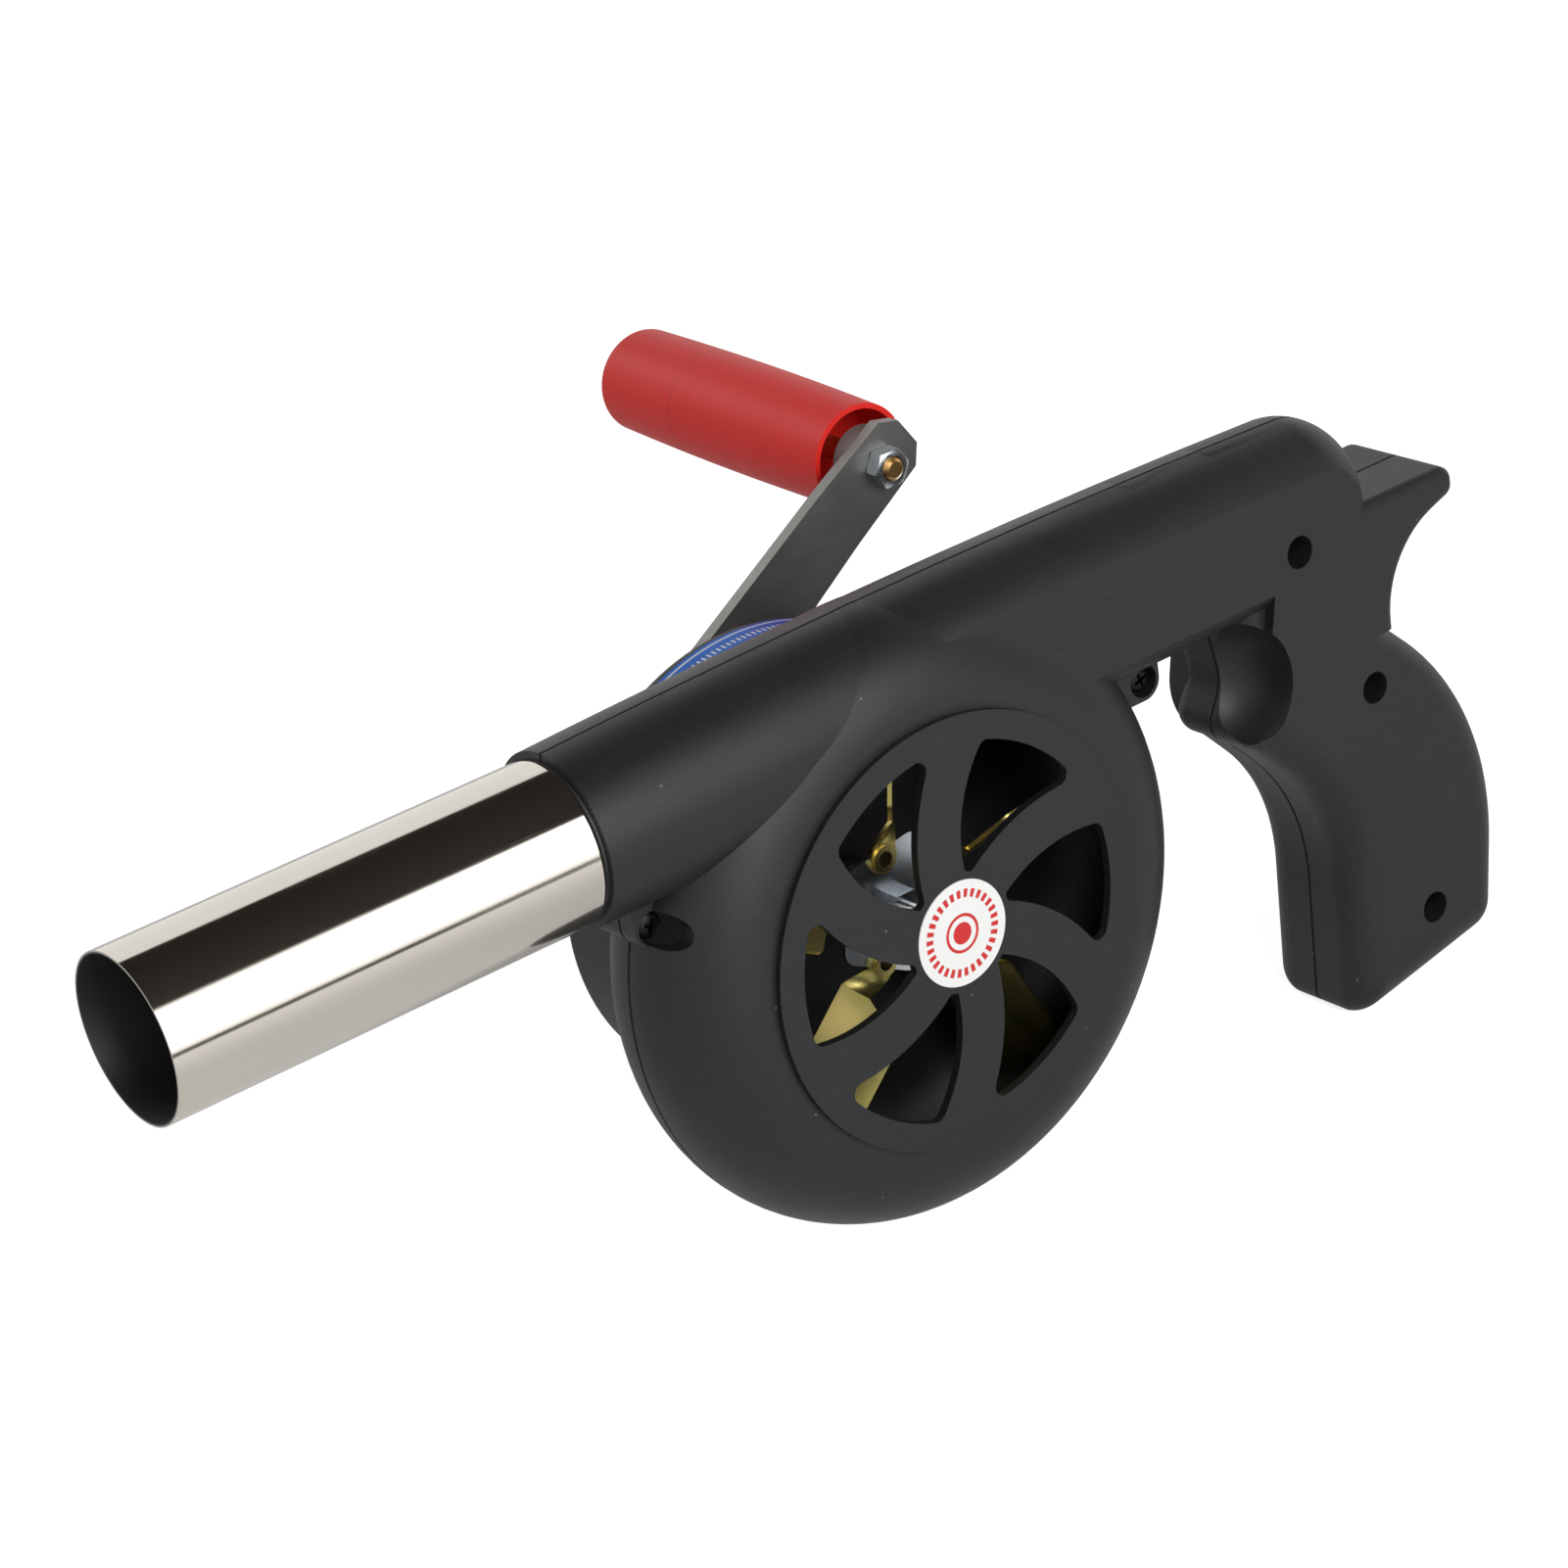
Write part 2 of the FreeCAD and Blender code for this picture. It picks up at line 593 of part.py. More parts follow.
def spur_form(name):
    """The spur that keeps the hand under the barrel."""
    spur_tip = size("neck_x") + size("spur_reach")
    under = size("spur_top") - size("spur_depth")
    inside_x = size("neck_x") - size("barrel_end_round")
    corners = [
        (inside_x, size("spur_top"), 0),
        (spur_tip, size("spur_top"), size("spur_round")),
        (spur_tip, under, size("spur_round")),
        (size("neck_x"), size("spur_hollow_z"), size("spur_hollow")),
        (size("neck_x"), size("neck_z"), 0),
        (inside_x, size("neck_z"), 0),
    ]
    sketch = rounded_outline(name + "_outline", corners)
    sketch.Placement = SIDE_VIEW
    body = plate(name + "_plate", sketch, 2 * flank, True)
    side = flank.value
    neck = size("neck_x").value

    def is_rim(edge):
        on_side = on_plane_y(edge, side) or on_plane_y(edge, -side)
        return on_side and edge.BoundBox.XMax > neck + 1e-4

    return round_edges(name, body, size("spur_edge"), is_rim)


def stop_form(name):
    """The trigger-shaped finger stop in front of the grip."""
    behind = size("web_x") + size("edge_round") + 2 * margin
    top = size("grip_top") - size("stop_root")
    corners = [
        (behind, top, 0),
        (size("stop_top_x"), top, 0),
        (size("stop_waist_x"), size("stop_waist_z"), size("stop_waist_round")),
        (size("stop_tip_x"), size("stop_tip_z"), size("stop_tip_round")),
        (behind, size("web_z") - size("stop_root"), 0),
    ]
    sketch = rounded_outline(name + "_outline", corners)
    sketch.Placement = SIDE_VIEW
    half = size("stop_half")
    body = plate(name + "_plate", sketch, 2 * half, True)
    back = (behind - margin).value

    def is_rim(edge):
        on_side = on_plane_y(edge, half.value) or on_plane_y(edge, -half.value)
        return on_side and edge.BoundBox.XMin < back and edge.BoundBox.ZLength > 1e-4

    return round_edges(name, body, size("stop_edge"), is_rim)


ear_places = {
    "front": (fan_x - size("front_ear_reach"), size("front_ear_z")),
    "rear": (fan_x + size("rear_ear_reach"), size("rear_ear_z")),
}


def ear_form(name, towards_fan):
    """An ear that hangs from the barrel and the casing, with one round corner about its screw."""
    x, z = ear_places[name]
    outer = x - towards_fan * size("ear_radius")
    inner = x + towards_fan * size("ear_web")
    top = -size("barrel_radius") / 2
    foot = z - size("ear_radius")
    sketch = rounded_outline(name + "_ear_outline", [
        (outer, foot, size("ear_radius")),
        (inner, foot, 0),
        (inner, top, 0),
        (outer, top, 0),
    ])
    sketch.Placement = FreeCAD.Placement(V(0, size("ear_far").value, 0), SIDE_VIEW.Rotation)
    bind(sketch, "Placement.Base.y", size("ear_far"))
    return plate(name + "_ear", sketch, size("ear_far") - size("ear_near"))


grip_screw_places = {
    "top": (size("top_screw_x"), size("top_screw_z")),
    "mid": (size("mid_screw_x"), size("mid_screw_z")),
    "low": (size("low_screw_x"), size("low_screw_z")),
}
crank_x = fan_x + size("crank_x")
crank_z = fan_z + size("crank_z")


def mesh_distance(first, second):
    return size("tooth_module") * (size(first) + size(second)) / 2


# The compound gear's pin lies where both of its centre distances are met.
to_crank = mesh_distance("crank_teeth", "small_teeth")
to_fan = mesh_distance("large_teeth", "pinion_teeth")
crank_reach = size("crank_x") * size("crank_x") + size("crank_z") * size("crank_z")
along = (crank_reach + to_fan * to_fan - to_crank * to_crank) / (2 * crank_reach)
aside = root(to_fan * to_fan / crank_reach - along * along)
idler_x = fan_x + along * size("crank_x") - aside * size("crank_z")
idler_z = fan_z + along * size("crank_z") + aside * size("crank_x")

chamber_half = size("scroll_half") - wall
dish_face = -size("scroll_half") - size("dish_height")
bowl_x = size("stop_top_x") - size("bowl_lead")

# ---- outside of the housing ----

outside = fuse("housing_outside", [
    barrel_form("barrel", crowned_rod("crowned_rod"), 0),
    scroll_form("scroll", 0),
    grip_form("grip", 0),
    spur_form("spur"),
    stop_form("finger_stop"),
    ear_form("front", 1),
    ear_form("rear", -1),
    rod_y("dish", size("dish_radius"), dish_face, 0, fan_x, fan_z),
    rod_y("cover_seat", size("cover_radius"), 0, size("cover_start") - size("cover_gap"), fan_x, fan_z),
])

# ---- hollow of the housing ----

bulkhead_start = fan_x + size("scroll_ring") + size("scroll_half")
bulkhead = rod_x("bulkhead", size("barrel_radius") + margin, bulkhead_start, bulkhead_start + wall)
duct_rod = rod_x("duct_rod", size("barrel_radius") - wall, socket_end, barrel_end - wall)
duct = barrel_form("duct", duct_rod, wall)
chamber = fuse("chamber", [scroll_form("chamber_scroll", wall), duct])
grip_hollow = grip_form("grip_hollow", wall)
screw_posts = [rod_y(name + "_post", size("post_radius"), -flank, flank, *place)
               for name, place in grip_screw_places.items()]
bowl_back = doc.addObject("Part::Sphere", "bowl_back")
bind(bowl_back, "Radius", size("bowl_radius") + wall)
put(bowl_back, bowl_x, size("bowl_y"), size("bowl_z"))
inside_room = fuse("inside_room", [chamber, grip_hollow])
kept_inside = [bulkhead, bowl_back] + screw_posts
inside = cut("housing_inside", inside_room, kept_inside)
socket = rod_x("tube_socket_bore", swaged_radius + size("tube_fit"), barrel_start - margin, socket_end)
housing = cut("housing", cut("hollow_housing", outside, [inside]), [socket])


def half_room(name, side):
    """All the room on one side of the parting plane."""
    reach = barrel_end * 2
    if side < 0:
        return block(name, (-reach, -reach, -reach), (reach, 0, reach))
    return block(name, (-reach, 0, -reach), (reach, reach, reach))


# ---- near half with the intake grille ----

def grille_slots():
    """The ring between hub and rim, less the six curved spokes, with rounded corners."""
    front = dish_face - margin
    back = margin - chamber_half
    far_front = front - margin
    far_back = back + margin
    ring = cut("slot_ring", rod_y("slot_ring_outside", size("slot_outer"), front, back, fan_x, fan_z),
               [rod_y("slot_ring_inside", size("slot_inner"), far_front, far_back, fan_x, fan_z)])
    half_width = size("spoke_width") / 2
    spokes = []
    for i in range(SLOT_COUNT):
        turn = size("spoke_angle") + 360.0 / SLOT_COUNT * i
        centre_x = fan_x + size("spoke_arc_centre") * cosine(turn)
        centre_z = fan_z + size("spoke_arc_centre") * sine(turn)
        convex = rod_y("spoke_outside_%d" % i, size("spoke_arc") + half_width, front, back,
                       centre_x, centre_z)
        hollow = rod_y("spoke_inside_%d" % i, size("spoke_arc") - half_width, far_front, far_back,
                       centre_x, centre_z)
        band = cut("spoke_band_%d" % i, convex, [hollow])
        side = doc.addObject("Part::Cylinder", "spoke_side_%d" % i)
        side.Angle = 180
        side.Placement = FreeCAD.Placement(ORIGIN, TO_FRONT * FreeCAD.Rotation(V(0, 0, 1), turn.value))
        bind(side, "Radius", 2 * size("spoke_arc"))
        bind(side, "Height", back - front)
        put(side, fan_x, back, fan_z)
        spokes.append(common("spoke_%d" % i, band, side))
    slots = cut("sharp_slots", ring, spokes)
    middle_radius = ((size("slot_outer") + size("slot_inner")) / 2).value
    depth = (back - front).value

    def is_corner(edge, outer):
        at = edge.CenterOfMass
        far = math.hypot(at.x - fan_x.value, at.z - fan_z.value) > middle_radius
        runs_through = abs(edge.BoundBox.YLength - depth) < 1e-4
        return runs_through and edge.Curve.TypeId == "Part::GeomLine" and far == outer

    outer_done = round_edges("slots_round_outside", slots, size("slot_round"),
                             lambda edge: is_corner(edge, True))
    return round_edges("slots", outer_done, size("slot_inner_round"), lambda edge: is_corner(edge, False))


def screw_room(name, place, seat, reach):
    """The stepped hole of a housing screw: room for its head and a hole for its shank."""
    outer = -2 * size("barrel_radius")
    head = rod_y(name + "_head_room", size("screw_head") + size("screw_play"), outer, seat, *place)
    shank = rod_y(name + "_shank_room", size("screw_shank") + size("shank_play"), seat,
                  seat + reach + size("pilot_room"), *place)
    return [head, shank]


screw_rooms = []
for name, place in grip_screw_places.items():
    screw_rooms += screw_room(name, place, size("screw_seat"), size("screw_length"))
for name, place in ear_places.items():
    screw_rooms += screw_room(name + "_ear", place, size("ear_screw_seat"), size("ear_screw_length"))
bowl = doc.addObject("Part::Sphere", "bowl")
bind(bowl, "Radius", size("bowl_radius"))
put(bowl, bowl_x, size("bowl_y"), size("bowl_z"))
grille_back = rod_y("grille_back", size("grille_recess"), dish_face + size("grille_wall"),
                    margin - chamber_half, fan_x, fan_z)
all_screw_rooms = fuse("screw_rooms", screw_rooms)
near_half = common("near_half", housing, half_room("near_room", -1))
front_shell = cut("front_shell", near_half, [grille_slots(), grille_back, all_screw_rooms, bowl])

# ---- far half with the bearing bosses ----

shaft_play = size("running_fit")
bush_outer = size("shaft_radius") + size("bush_wall")
boss_outer = bush_outer + size("boss_wall")
spigot_outer = size("cover_radius") - size("cover_wall") - size("spigot_play")
case_floor = size("scroll_half")
far_half = common("far_half", housing, half_room("far_room", 1))
impeller_boss_end = case_floor + size("impeller_boss_height")
pivot_boss_end = case_floor + size("pivot_boss_height")
pivot_floor = chamber_half + size("pivot_floor")
rear_bosses = [
    rod_y("impeller_boss", boss_outer, size("rear_boss_start"), impeller_boss_end, fan_x, fan_z),
    rod_y("idler_boss", size("idler_pin_radius") + size("boss_wall"), chamber_half, pivot_boss_end,
          idler_x, idler_z),
    rod_y("crank_boss", size("crank_pivot_radius") + size("boss_wall"), chamber_half, pivot_boss_end,
          crank_x, crank_z),
]
spigot_end = case_floor + size("spigot_height")
spigot = cut("cover_spigot",
             rod_y("spigot_outside", spigot_outer, case_floor - margin, spigot_end, fan_x, fan_z),
             [rod_y("spigot_inside", spigot_outer - size("spigot_wall"), case_floor - 2 * margin,
                    spigot_end + margin, fan_x, fan_z)])
cover_places = []
for angle in COVER_SCREW_ANGLES:
    cover_places.append((fan_x + size("cover_screw_ring") * cosine(angle),
                         fan_z + size("cover_screw_ring") * sine(angle)))
cover_inner = size("cover_face") - size("cover_wall")
cover_joint = cover_inner - size("cover_post_depth")
head_seat = size("cover_face") - size("cover_head_depth")
pilot_start = head_seat - size("cover_screw_length") - size("pilot_room")
rear_posts = []
for i, place in enumerate(cover_places):
    rear_posts.append(rod_y("rear_post_%d" % i, size("cover_post"), chamber_half, cover_joint, *place))
rear_solid = fuse("rear_solid", [far_half, spigot] + rear_bosses + rear_posts)
rear_holes = [
    rod_y("impeller_bush_hole", bush_outer, size("rear_boss_start") - margin,
          impeller_boss_end + margin, fan_x, fan_z),
    rod_y("idler_pin_hole", size("idler_pin_radius"), pivot_floor, pivot_boss_end + margin,
          idler_x, idler_z),
    rod_y("crank_pivot_hole", size("crank_pivot_radius") + shaft_play, pivot_floor,
          pivot_boss_end + margin, crank_x, crank_z),
]
for i, place in enumerate(cover_places):
    rear_holes.append(rod_y("rear_pilot_%d" % i, size("cover_screw_shank"), pilot_start,
                            cover_joint + margin, *place))
rear_shell = cut("rear_shell", rear_solid, rear_holes + [all_screw_rooms])

# ---- gear cover ----

cover_can = round_edges("cover_can",
                        rod_y("cover_rod", size("cover_radius"), size("cover_start"), size("cover_face"),
                              fan_x, fan_z),
                        size("cover_round"),
                        lambda edge: on_plane_y(edge, size("cover_face").value))
cover_hollow = round_edges("cover_hollow",
                           rod_y("cover_hollow_rod", size("cover_radius") - size("cover_wall"),
                                 size("cover_start") - margin, cover_inner, fan_x, fan_z),
                           size("cover_round") - size("cover_wall") / 2,
                           lambda edge: on_plane_y(edge, cover_inner.value))
cover_shell = cut("cover_shell", cover_can, [cover_hollow])
gears_end = size("second_stage") + size("second_stage_width") + size("axial_play")
cover_bosses = [
    rod_y("cover_shaft_boss", bush_outer + size("cover_boss_wall"), gears_end, cover_inner + margin,
          fan_x, fan_z),
    rod_y("cover_idler_boss", size("idler_pin_radius") + size("cover_boss_wall"), gears_end,
          cover_inner + margin, idler_x, idler_z),
    rod_y("cover_crank_boss", size("crank_bush_radius") + size("boss_wall"), size("crank_bush_start"),
          size("crank_bush_end") - size("crank_bush_proud"), crank_x, crank_z),
]
for i, place in enumerate(cover_places):
    cover_bosses.append(rod_y("cover_post_%d" % i, size("cover_post"), cover_joint,
                              cover_inner + margin, *place))
cover_solid = fuse("cover_solid", [cover_shell] + cover_bosses)
cover_holes = [
    rod_y("cover_bush_hole", bush_outer, gears_end - margin, size("shaft_end") + size("axial_play"),
          fan_x, fan_z),
    rod_y("cover_pin_hole", size("idler_pin_radius"), size("second_stage"), cover_inner, idler_x, idler_z),
    rod_y("cover_crank_hole", size("crank_bush_radius"), size("crank_bush_start") - margin,
          size("crank_bush_end") + margin, crank_x, crank_z),
]
for i, place in enumerate(cover_places):
    cover_holes.append(rod_y("cover_hole_%d" % i, size("cover_screw_shank") + size("shank_play"),
                             cover_joint - margin, head_seat, *place))
    cover_holes.append(rod_y("cover_head_hole_%d" % i,
                             size("cover_screw_head") + size("cover_head_play"), head_seat,
                             size("cover_face") + margin, *place))
gear_cover = cut("gear_cover", cover_solid, cover_holes)

# ---- labels ----

rod_y("grille_label", size("label_radius"), dish_face - size("label_thickness"), dish_face, fan_x, fan_z)

label_room = doc.addObject("Part::Cylinder", "cover_label_room")
bind(label_room, "Radius", size("cover_radius") + size("label_thickness"))
bind(label_room, "Height", size("cover_label_end") - size("cover_label_start"))
bind(label_room, "Angle", size("cover_label_sweep_angle"))
label_room.Placement = FreeCAD.Placement(
    ORIGIN, TO_FRONT * FreeCAD.Rotation(V(0, 0, 1), size("cover_label_angle").value))
put(label_room, fan_x, size("cover_label_end"), fan_z)
cut("cover_label", label_room, [
    rod_y("cover_label_inside", size("cover_radius"), size("cover_label_start") - margin,
          size("cover_label_end") + margin, fan_x, fan_z)])

# ---- nozzle tube ----

tube_body = doc.addObject("PartDesign::Body", "nozzle_tube")


def body_plane(body, role):
    for feature in body.Origin.OriginFeatures:
        if feature.Role == role:
            return feature


def attach(sketch, body, role):
    sketch.AttachmentSupport = [(body_plane(body, role), "")]
    sketch.MapMode = "FlatFace"


tube_bore = size("tube_radius") - size("tube_wall")
tube_sketch = rounded_outline("tube_section", [
    (0, tube_bore, 0),
    (swage_start, tube_bore, 0),
    (swage_end, swaged_radius - size("tube_wall"), 0),
    (socket_end, swaged_radius - size("tube_wall"), 0),
    (socket_end, swaged_radius, 0),
    (swage_end, swaged_radius, 0),
    (swage_start, size("tube_radius"), 0),
    (0, size("tube_radius"), 0),
], tube_body)
attach(tube_sketch, tube_body, "XY_Plane")
tube_turn = tube_body.newObject("PartDesign::Revolution", "tube_turn")
tube_turn.Profile = tube_sketch
tube_turn.ReferenceAxis = (tube_sketch, ["H_Axis"])
tube_turn.Angle = 360

# ---- screws ----


def screw(name, place, seat, head_radius, head_height, shank_radius, shank_length, way):
    """A cheese-head screw whose head stands on plane y = seat on the side against its way."""
    sketch = rounded_outline(name + "_section", [
        (-head_height, 0, 0),
        (-head_height, head_radius, 0),
        (0, head_radius, 0),
        (0, shank_radius, 0),
        (shank_length, shank_radius, 0),
        (shank_length, 0, 0),
    ])
    pin = turned(name, sketch)
    pin.Placement = FreeCAD.Placement(ORIGIN, FreeCAD.Rotation(V(0, 0, 1), 90 * way))
    put(pin, place[0], seat, place[1])
    return pin


def screw_group(label, places, seat, sizes, way):
    screws = [screw("%s_%d" % (label, i), place, seat, *sizes, way) for i, place in enumerate(places)]
    group = doc.addObject("Part::Compound", label)
    group.Links = screws
    return group


grip_screw_sizes = (size("screw_head"), size("screw_head_height"), size("screw_shank"), size("screw_length"))
ear_screw_sizes = grip_screw_sizes[:3] + (size("ear_screw_length"),)
cover_screw_sizes = (size("cover_screw_head"), size("cover_screw_head_height"), size("cover_screw_shank"),
                     size("cover_screw_length"))
screw_group("grip_screws", grip_screw_places.values(), size("screw_seat"), grip_screw_sizes, 1)
screw_group("ear_screws", ear_places.values(), size("ear_screw_seat"), ear_screw_sizes, 1)
screw_group("cover_screws", cover_places, head_seat, cover_screw_sizes, -1)

# ---- gears ----


def involute_gear(label, teeth, start, width, bore, x, z, turn):
    """A spur gear across the blower; turn is the direction of one tooth's middle, from +X to +Z."""
    module = size("tooth_module").value
    pitch_radius = module * teeth / 2
    base_radius = pitch_radius * math.cos(math.radians(size("pressure_angle").value))
    tip_radius = pitch_radius + size("addendum_ratio").value * module
    root_radius = pitch_radius - size("dedendum_ratio").value * module
    flank_start_radius = max(base_radius, root_radius)

    def involute_angle(radius):
        slope = math.acos(min(1.0, base_radius / radius))
        return math.tan(slope) - slope

    thickness = math.pi * module / 2 - size("backlash").value / 2
    half_angle = thickness / 2 / pitch_radius + involute_angle(pitch_radius)

    def point(radius, angle):
        return V(radius * math.cos(angle), radius * math.sin(angle), 0)

    radii = [flank_start_radius, (flank_start_radius + tip_radius) / 2, tip_radius]
    edges = []
    pitch_angle = 2 * math.pi / teeth
    for tooth in range(teeth):
        middle = math.radians(turn) + tooth * pitch_angle
        rising = [point(radius, middle - half_angle + involute_angle(radius)) for radius in radii]
        falling = [point(radius, middle + half_angle - involute_angle(radius)) for radius in radii]
        foot = point(root_radius, middle - half_angle)
        heel = point(root_radius, middle + half_angle)
        next_foot = point(root_radius, middle + pitch_angle - half_angle)
        if base_radius > root_radius:
            edges.append(Part.makeLine(foot, rising[0]))
        edges.append(Part.Arc(*rising).toShape())
        edges.append(Part.Arc(rising[2], point(tip_radius, middle), falling[2]).toShape())
        edges.append(Part.Arc(falling[2], falling[1], falling[0]).toShape())
        if base_radius > root_radius:
            edges.append(Part.makeLine(falling[0], heel))
            last = heel
        else:
            last = falling[0]
            next_foot = point(root_radius, middle + pitch_angle - half_angle + involute_angle(root_radius))
        edges.append(Part.Arc(last, point(root_radius, middle + pitch_angle / 2), next_foot).toShape())
    wheel = Part.Face(Part.Wire(edges)).extrude(V(0, 0, width))
    hole = Part.makeCylinder(bore, width * 3, V(0, 0, -width))
    wheel = wheel.cut(hole)
    wheel.Placement = FreeCAD.Placement(V(x, start + width, z), FreeCAD.Rotation(V(1, 0, 0), 90))
    return wheel


def mesh_turn(direction, first_turn, first_teeth, second_teeth):
    """Turn of the second gear whose tooth gap faces the first gear's tooth."""
    teeth_past = (direction - first_turn) * first_teeth / 360
    return direction + 180 - 360 / second_teeth * (0.5 - teeth_past)


def direction_to(x, z):
    return math.degrees(math.atan2(z, x))


def gear_feature(label, shape):
    feature = doc.addObject("Part::Feature", label)
    feature.Shape = shape
    return feature


crank_teeth = int(size("crank_teeth").value)
small_teeth = int(size("small_teeth").value)
large_teeth = int(size("large_teeth").value)
pinion_teeth = int(size("pinion_teeth").value)
crank_to_idler = direction_to(idler_x.value - crank_x.value, idler_z.value - crank_z.value)
idler_to_fan = direction_to(fan_x.value - idler_x.value, fan_z.value - idler_z.value)
small_turn = mesh_turn(crank_to_idler, 0, crank_teeth, small_teeth)
pinion_turn = mesh_turn(idler_to_fan, small_turn, large_teeth, pinion_teeth)
stage_one = size("first_stage").value
stage_one_width = size("first_stage_width").value
stage_two = size("second_stage").value
stage_two_width = size("second_stage_width").value
idler_bore = (size("idler_pin_radius") + shaft_play).value
gear_feature("crank_gear", involute_gear("crank_gear", crank_teeth, stage_two, stage_two_width,
                                         size("crank_shaft_radius").value, crank_x.value, crank_z.value, 0))
gear_feature("impeller_pinion", involute_gear("impeller_pinion", pinion_teeth, stage_one, stage_one_width,
                                              size("shaft_radius").value, fan_x.value, fan_z.value,
                                              pinion_turn))
large_wheel = involute_gear("wheel", large_teeth, stage_one, stage_one_width, idler_bore,
                            idler_x.value, idler_z.value, small_turn)
small_wheel = involute_gear("small", small_teeth, stage_one + stage_one_width,
                            stage_two + stage_two_width - stage_one - stage_one_width, idler_bore,
                            idler_x.value, idler_z.value, small_turn)
gear_feature("idler_gear", large_wheel.fuse(small_wheel).removeSplitter())

# ---- shafts, bushes and pins ----

rod_y("impeller_shaft", size("shaft_radius"), size("shaft_start"), size("shaft_end"), fan_x, fan_z)
rod_y("idler_pin", size("idler_pin_radius"), pivot_floor, cover_inner, idler_x, idler_z)


def bush(name, inner, outer, start, end, x, z):
    return cut(name, rod_y(name + "_outside", outer, start, end, x, z),
               [rod_y(name + "_bore", inner, start - margin, end + margin, x, z)])


shaft_bore = size("shaft_radius") + shaft_play
impeller_bushes = doc.addObject("Part::Compound", "impeller_bushes")
impeller_bushes.Links = [
    bush("rear_bush", shaft_bore, bush_outer, size("rear_boss_start"), impeller_boss_end, fan_x, fan_z),
    bush("cover_bush", shaft_bore, bush_outer, gears_end, size("shaft_end"), fan_x, fan_z),
]
crank_bore = size("crank_shaft_radius") + shaft_play
bush("crank_bush", crank_bore, size("crank_bush_radius"), size("crank_bush_start"), size("crank_bush_end"),
     crank_x, crank_z)

pivot_end = size("crank_pivot_radius")
arm_seat = size("arm_seat")
pivot_start = pivot_floor + size("axial_play") / 2
shoulder = pivot_boss_end + size("axial_play")
collar_start = size("crank_bush_end") + size("axial_play")
thread_end = (arm_seat + size("arm_thickness") + size("washer_thickness") + size("hub_nut_height")
              + size("bolt_proud"))
crank_shaft_sketch = rounded_outline("crank_shaft_section", [
    (pivot_start, 0, 0),
    (pivot_start, pivot_end, 0),
    (shoulder, pivot_end, 0),
    (shoulder, size("crank_shaft_radius"), 0),
    (collar_start, size("crank_shaft_radius"), 0),
    (collar_start, size("crank_bush_radius"), 0),
    (arm_seat, size("crank_bush_radius"), 0),
    (arm_seat, pivot_end, 0),
    (thread_end, pivot_end, 0),
    (thread_end, 0, 0),
])
crank_shaft = turned("crank_shaft", crank_shaft_sketch)
crank_shaft.Placement = FreeCAD.Placement(ORIGIN, FreeCAD.Rotation(V(0, 0, 1), 90))
put(crank_shaft, crank_x, 0, crank_z)

# ---- impeller ----

hub_plate_body = doc.addObject("PartDesign::Body", "impeller_hub_plate")
blade_count = int(size("blade_count").value)
blade_pitch = 360.0 / blade_count
hub_corners = []
for i in range(blade_count):
    angle = size("blade_first_angle") + blade_pitch * (i + 0.5)
    corner_x = size("hub_corner") * cosine(angle)
    corner_z = size("hub_corner") * sine(angle)
    hub_corners.append((corner_x, corner_z, size("hub_round")))
hub_sketch = rounded_outline("hub_plate_outline", hub_corners, hub_plate_body)
attach(hub_sketch, hub_plate_body, "XY_Plane")
hub_pad = hub_plate_body.newObject("PartDesign::Pad", "hub_plate_pad")
hub_pad.Profile = hub_sketch
bind(hub_pad, "Length", size("hub_thickness"))
hub_hole_sketch = hub_plate_body.newObject("Sketcher::SketchObject", "hub_plate_holes")
attach(hub_hole_sketch, hub_plate_body, "XY_Plane")


def add_hole(sketch, x, z, radius):
    x, z, radius = length(x), length(z), length(radius)
    hole = sketch.addGeometry(Part.Circle(V(x.value, z.value, 0), V(0, 0, 1), radius.value), False)
    pin_point(sketch, hole, 3, x, z)
    index = sketch.addConstraint(Sketcher.Constraint("Radius", hole, radius.value))
    bind(sketch, "Constraints[%d]" % index, radius)


add_hole(hub_hole_sketch, 0, 0, size("shaft_radius"))
for i in range(blade_count):
    angle = size("blade_first_angle") + blade_pitch * i
    add_hole(hub_hole_sketch, size("eyelet_ring") * cosine(angle), size("eyelet_ring") * sine(angle),
             size("eyelet_radius"))
hub_pocket = hub_plate_body.newObject("PartDesign::Pocket", "hub_plate_pocket")
hub_pocket.Profile = hub_hole_sketch
hub_pocket.Type = 1
hub_pocket.Midplane = True
hub_plate_body.Placement = FreeCAD.Placement(V(fan_x.value, size("hub_thickness").value, fan_z.value),
                                             FreeCAD.Rotation(V(1, 0, 0), 90))
bind(hub_plate_body, "Placement.Base.x", fan_x)
bind(hub_plate_body, "Placement.Base.y", size("hub_thickness"))
bind(hub_plate_body, "Placement.Base.z", fan_z)

cut("impeller_collar",
    rod_y("collar_rod", size("collar_radius"), size("hub_thickness"),
          size("rear_boss_start") - size("axial_play"), fan_x, fan_z),
    [rod_y("collar_bore", size("shaft_radius"), 0, size("rear_boss_start"), fan_x, fan_z)])


def hexagon(name, flats, height, bore):
    """A hexagon nut with a round bore, standing on its own XY plane."""
    prism = doc.addObject("Part::Prism", name + "_prism")
    prism.Polygon = 6
    bind(prism, "Circumradius", flats / math.sqrt(3))
    bind(prism, "Height", height)
    hole = doc.addObject("Part::Cylinder", name + "_bore")
    bind(hole, "Radius", bore)
    bind(hole, "Height", height + 2 * margin)
    put(hole, 0, 0, -margin)
    return cut(name, prism, [hole])


impeller_nut = hexagon("impeller_nut", size("nut_flats"), size("nut_height"), size("shaft_radius"))
impeller_nut.Placement = FreeCAD.Placement(ORIGIN, FreeCAD.Rotation(V(1, 0, 0), 90))
put(impeller_nut, fan_x, 0, fan_z)

thickness = size("blade_thickness").value


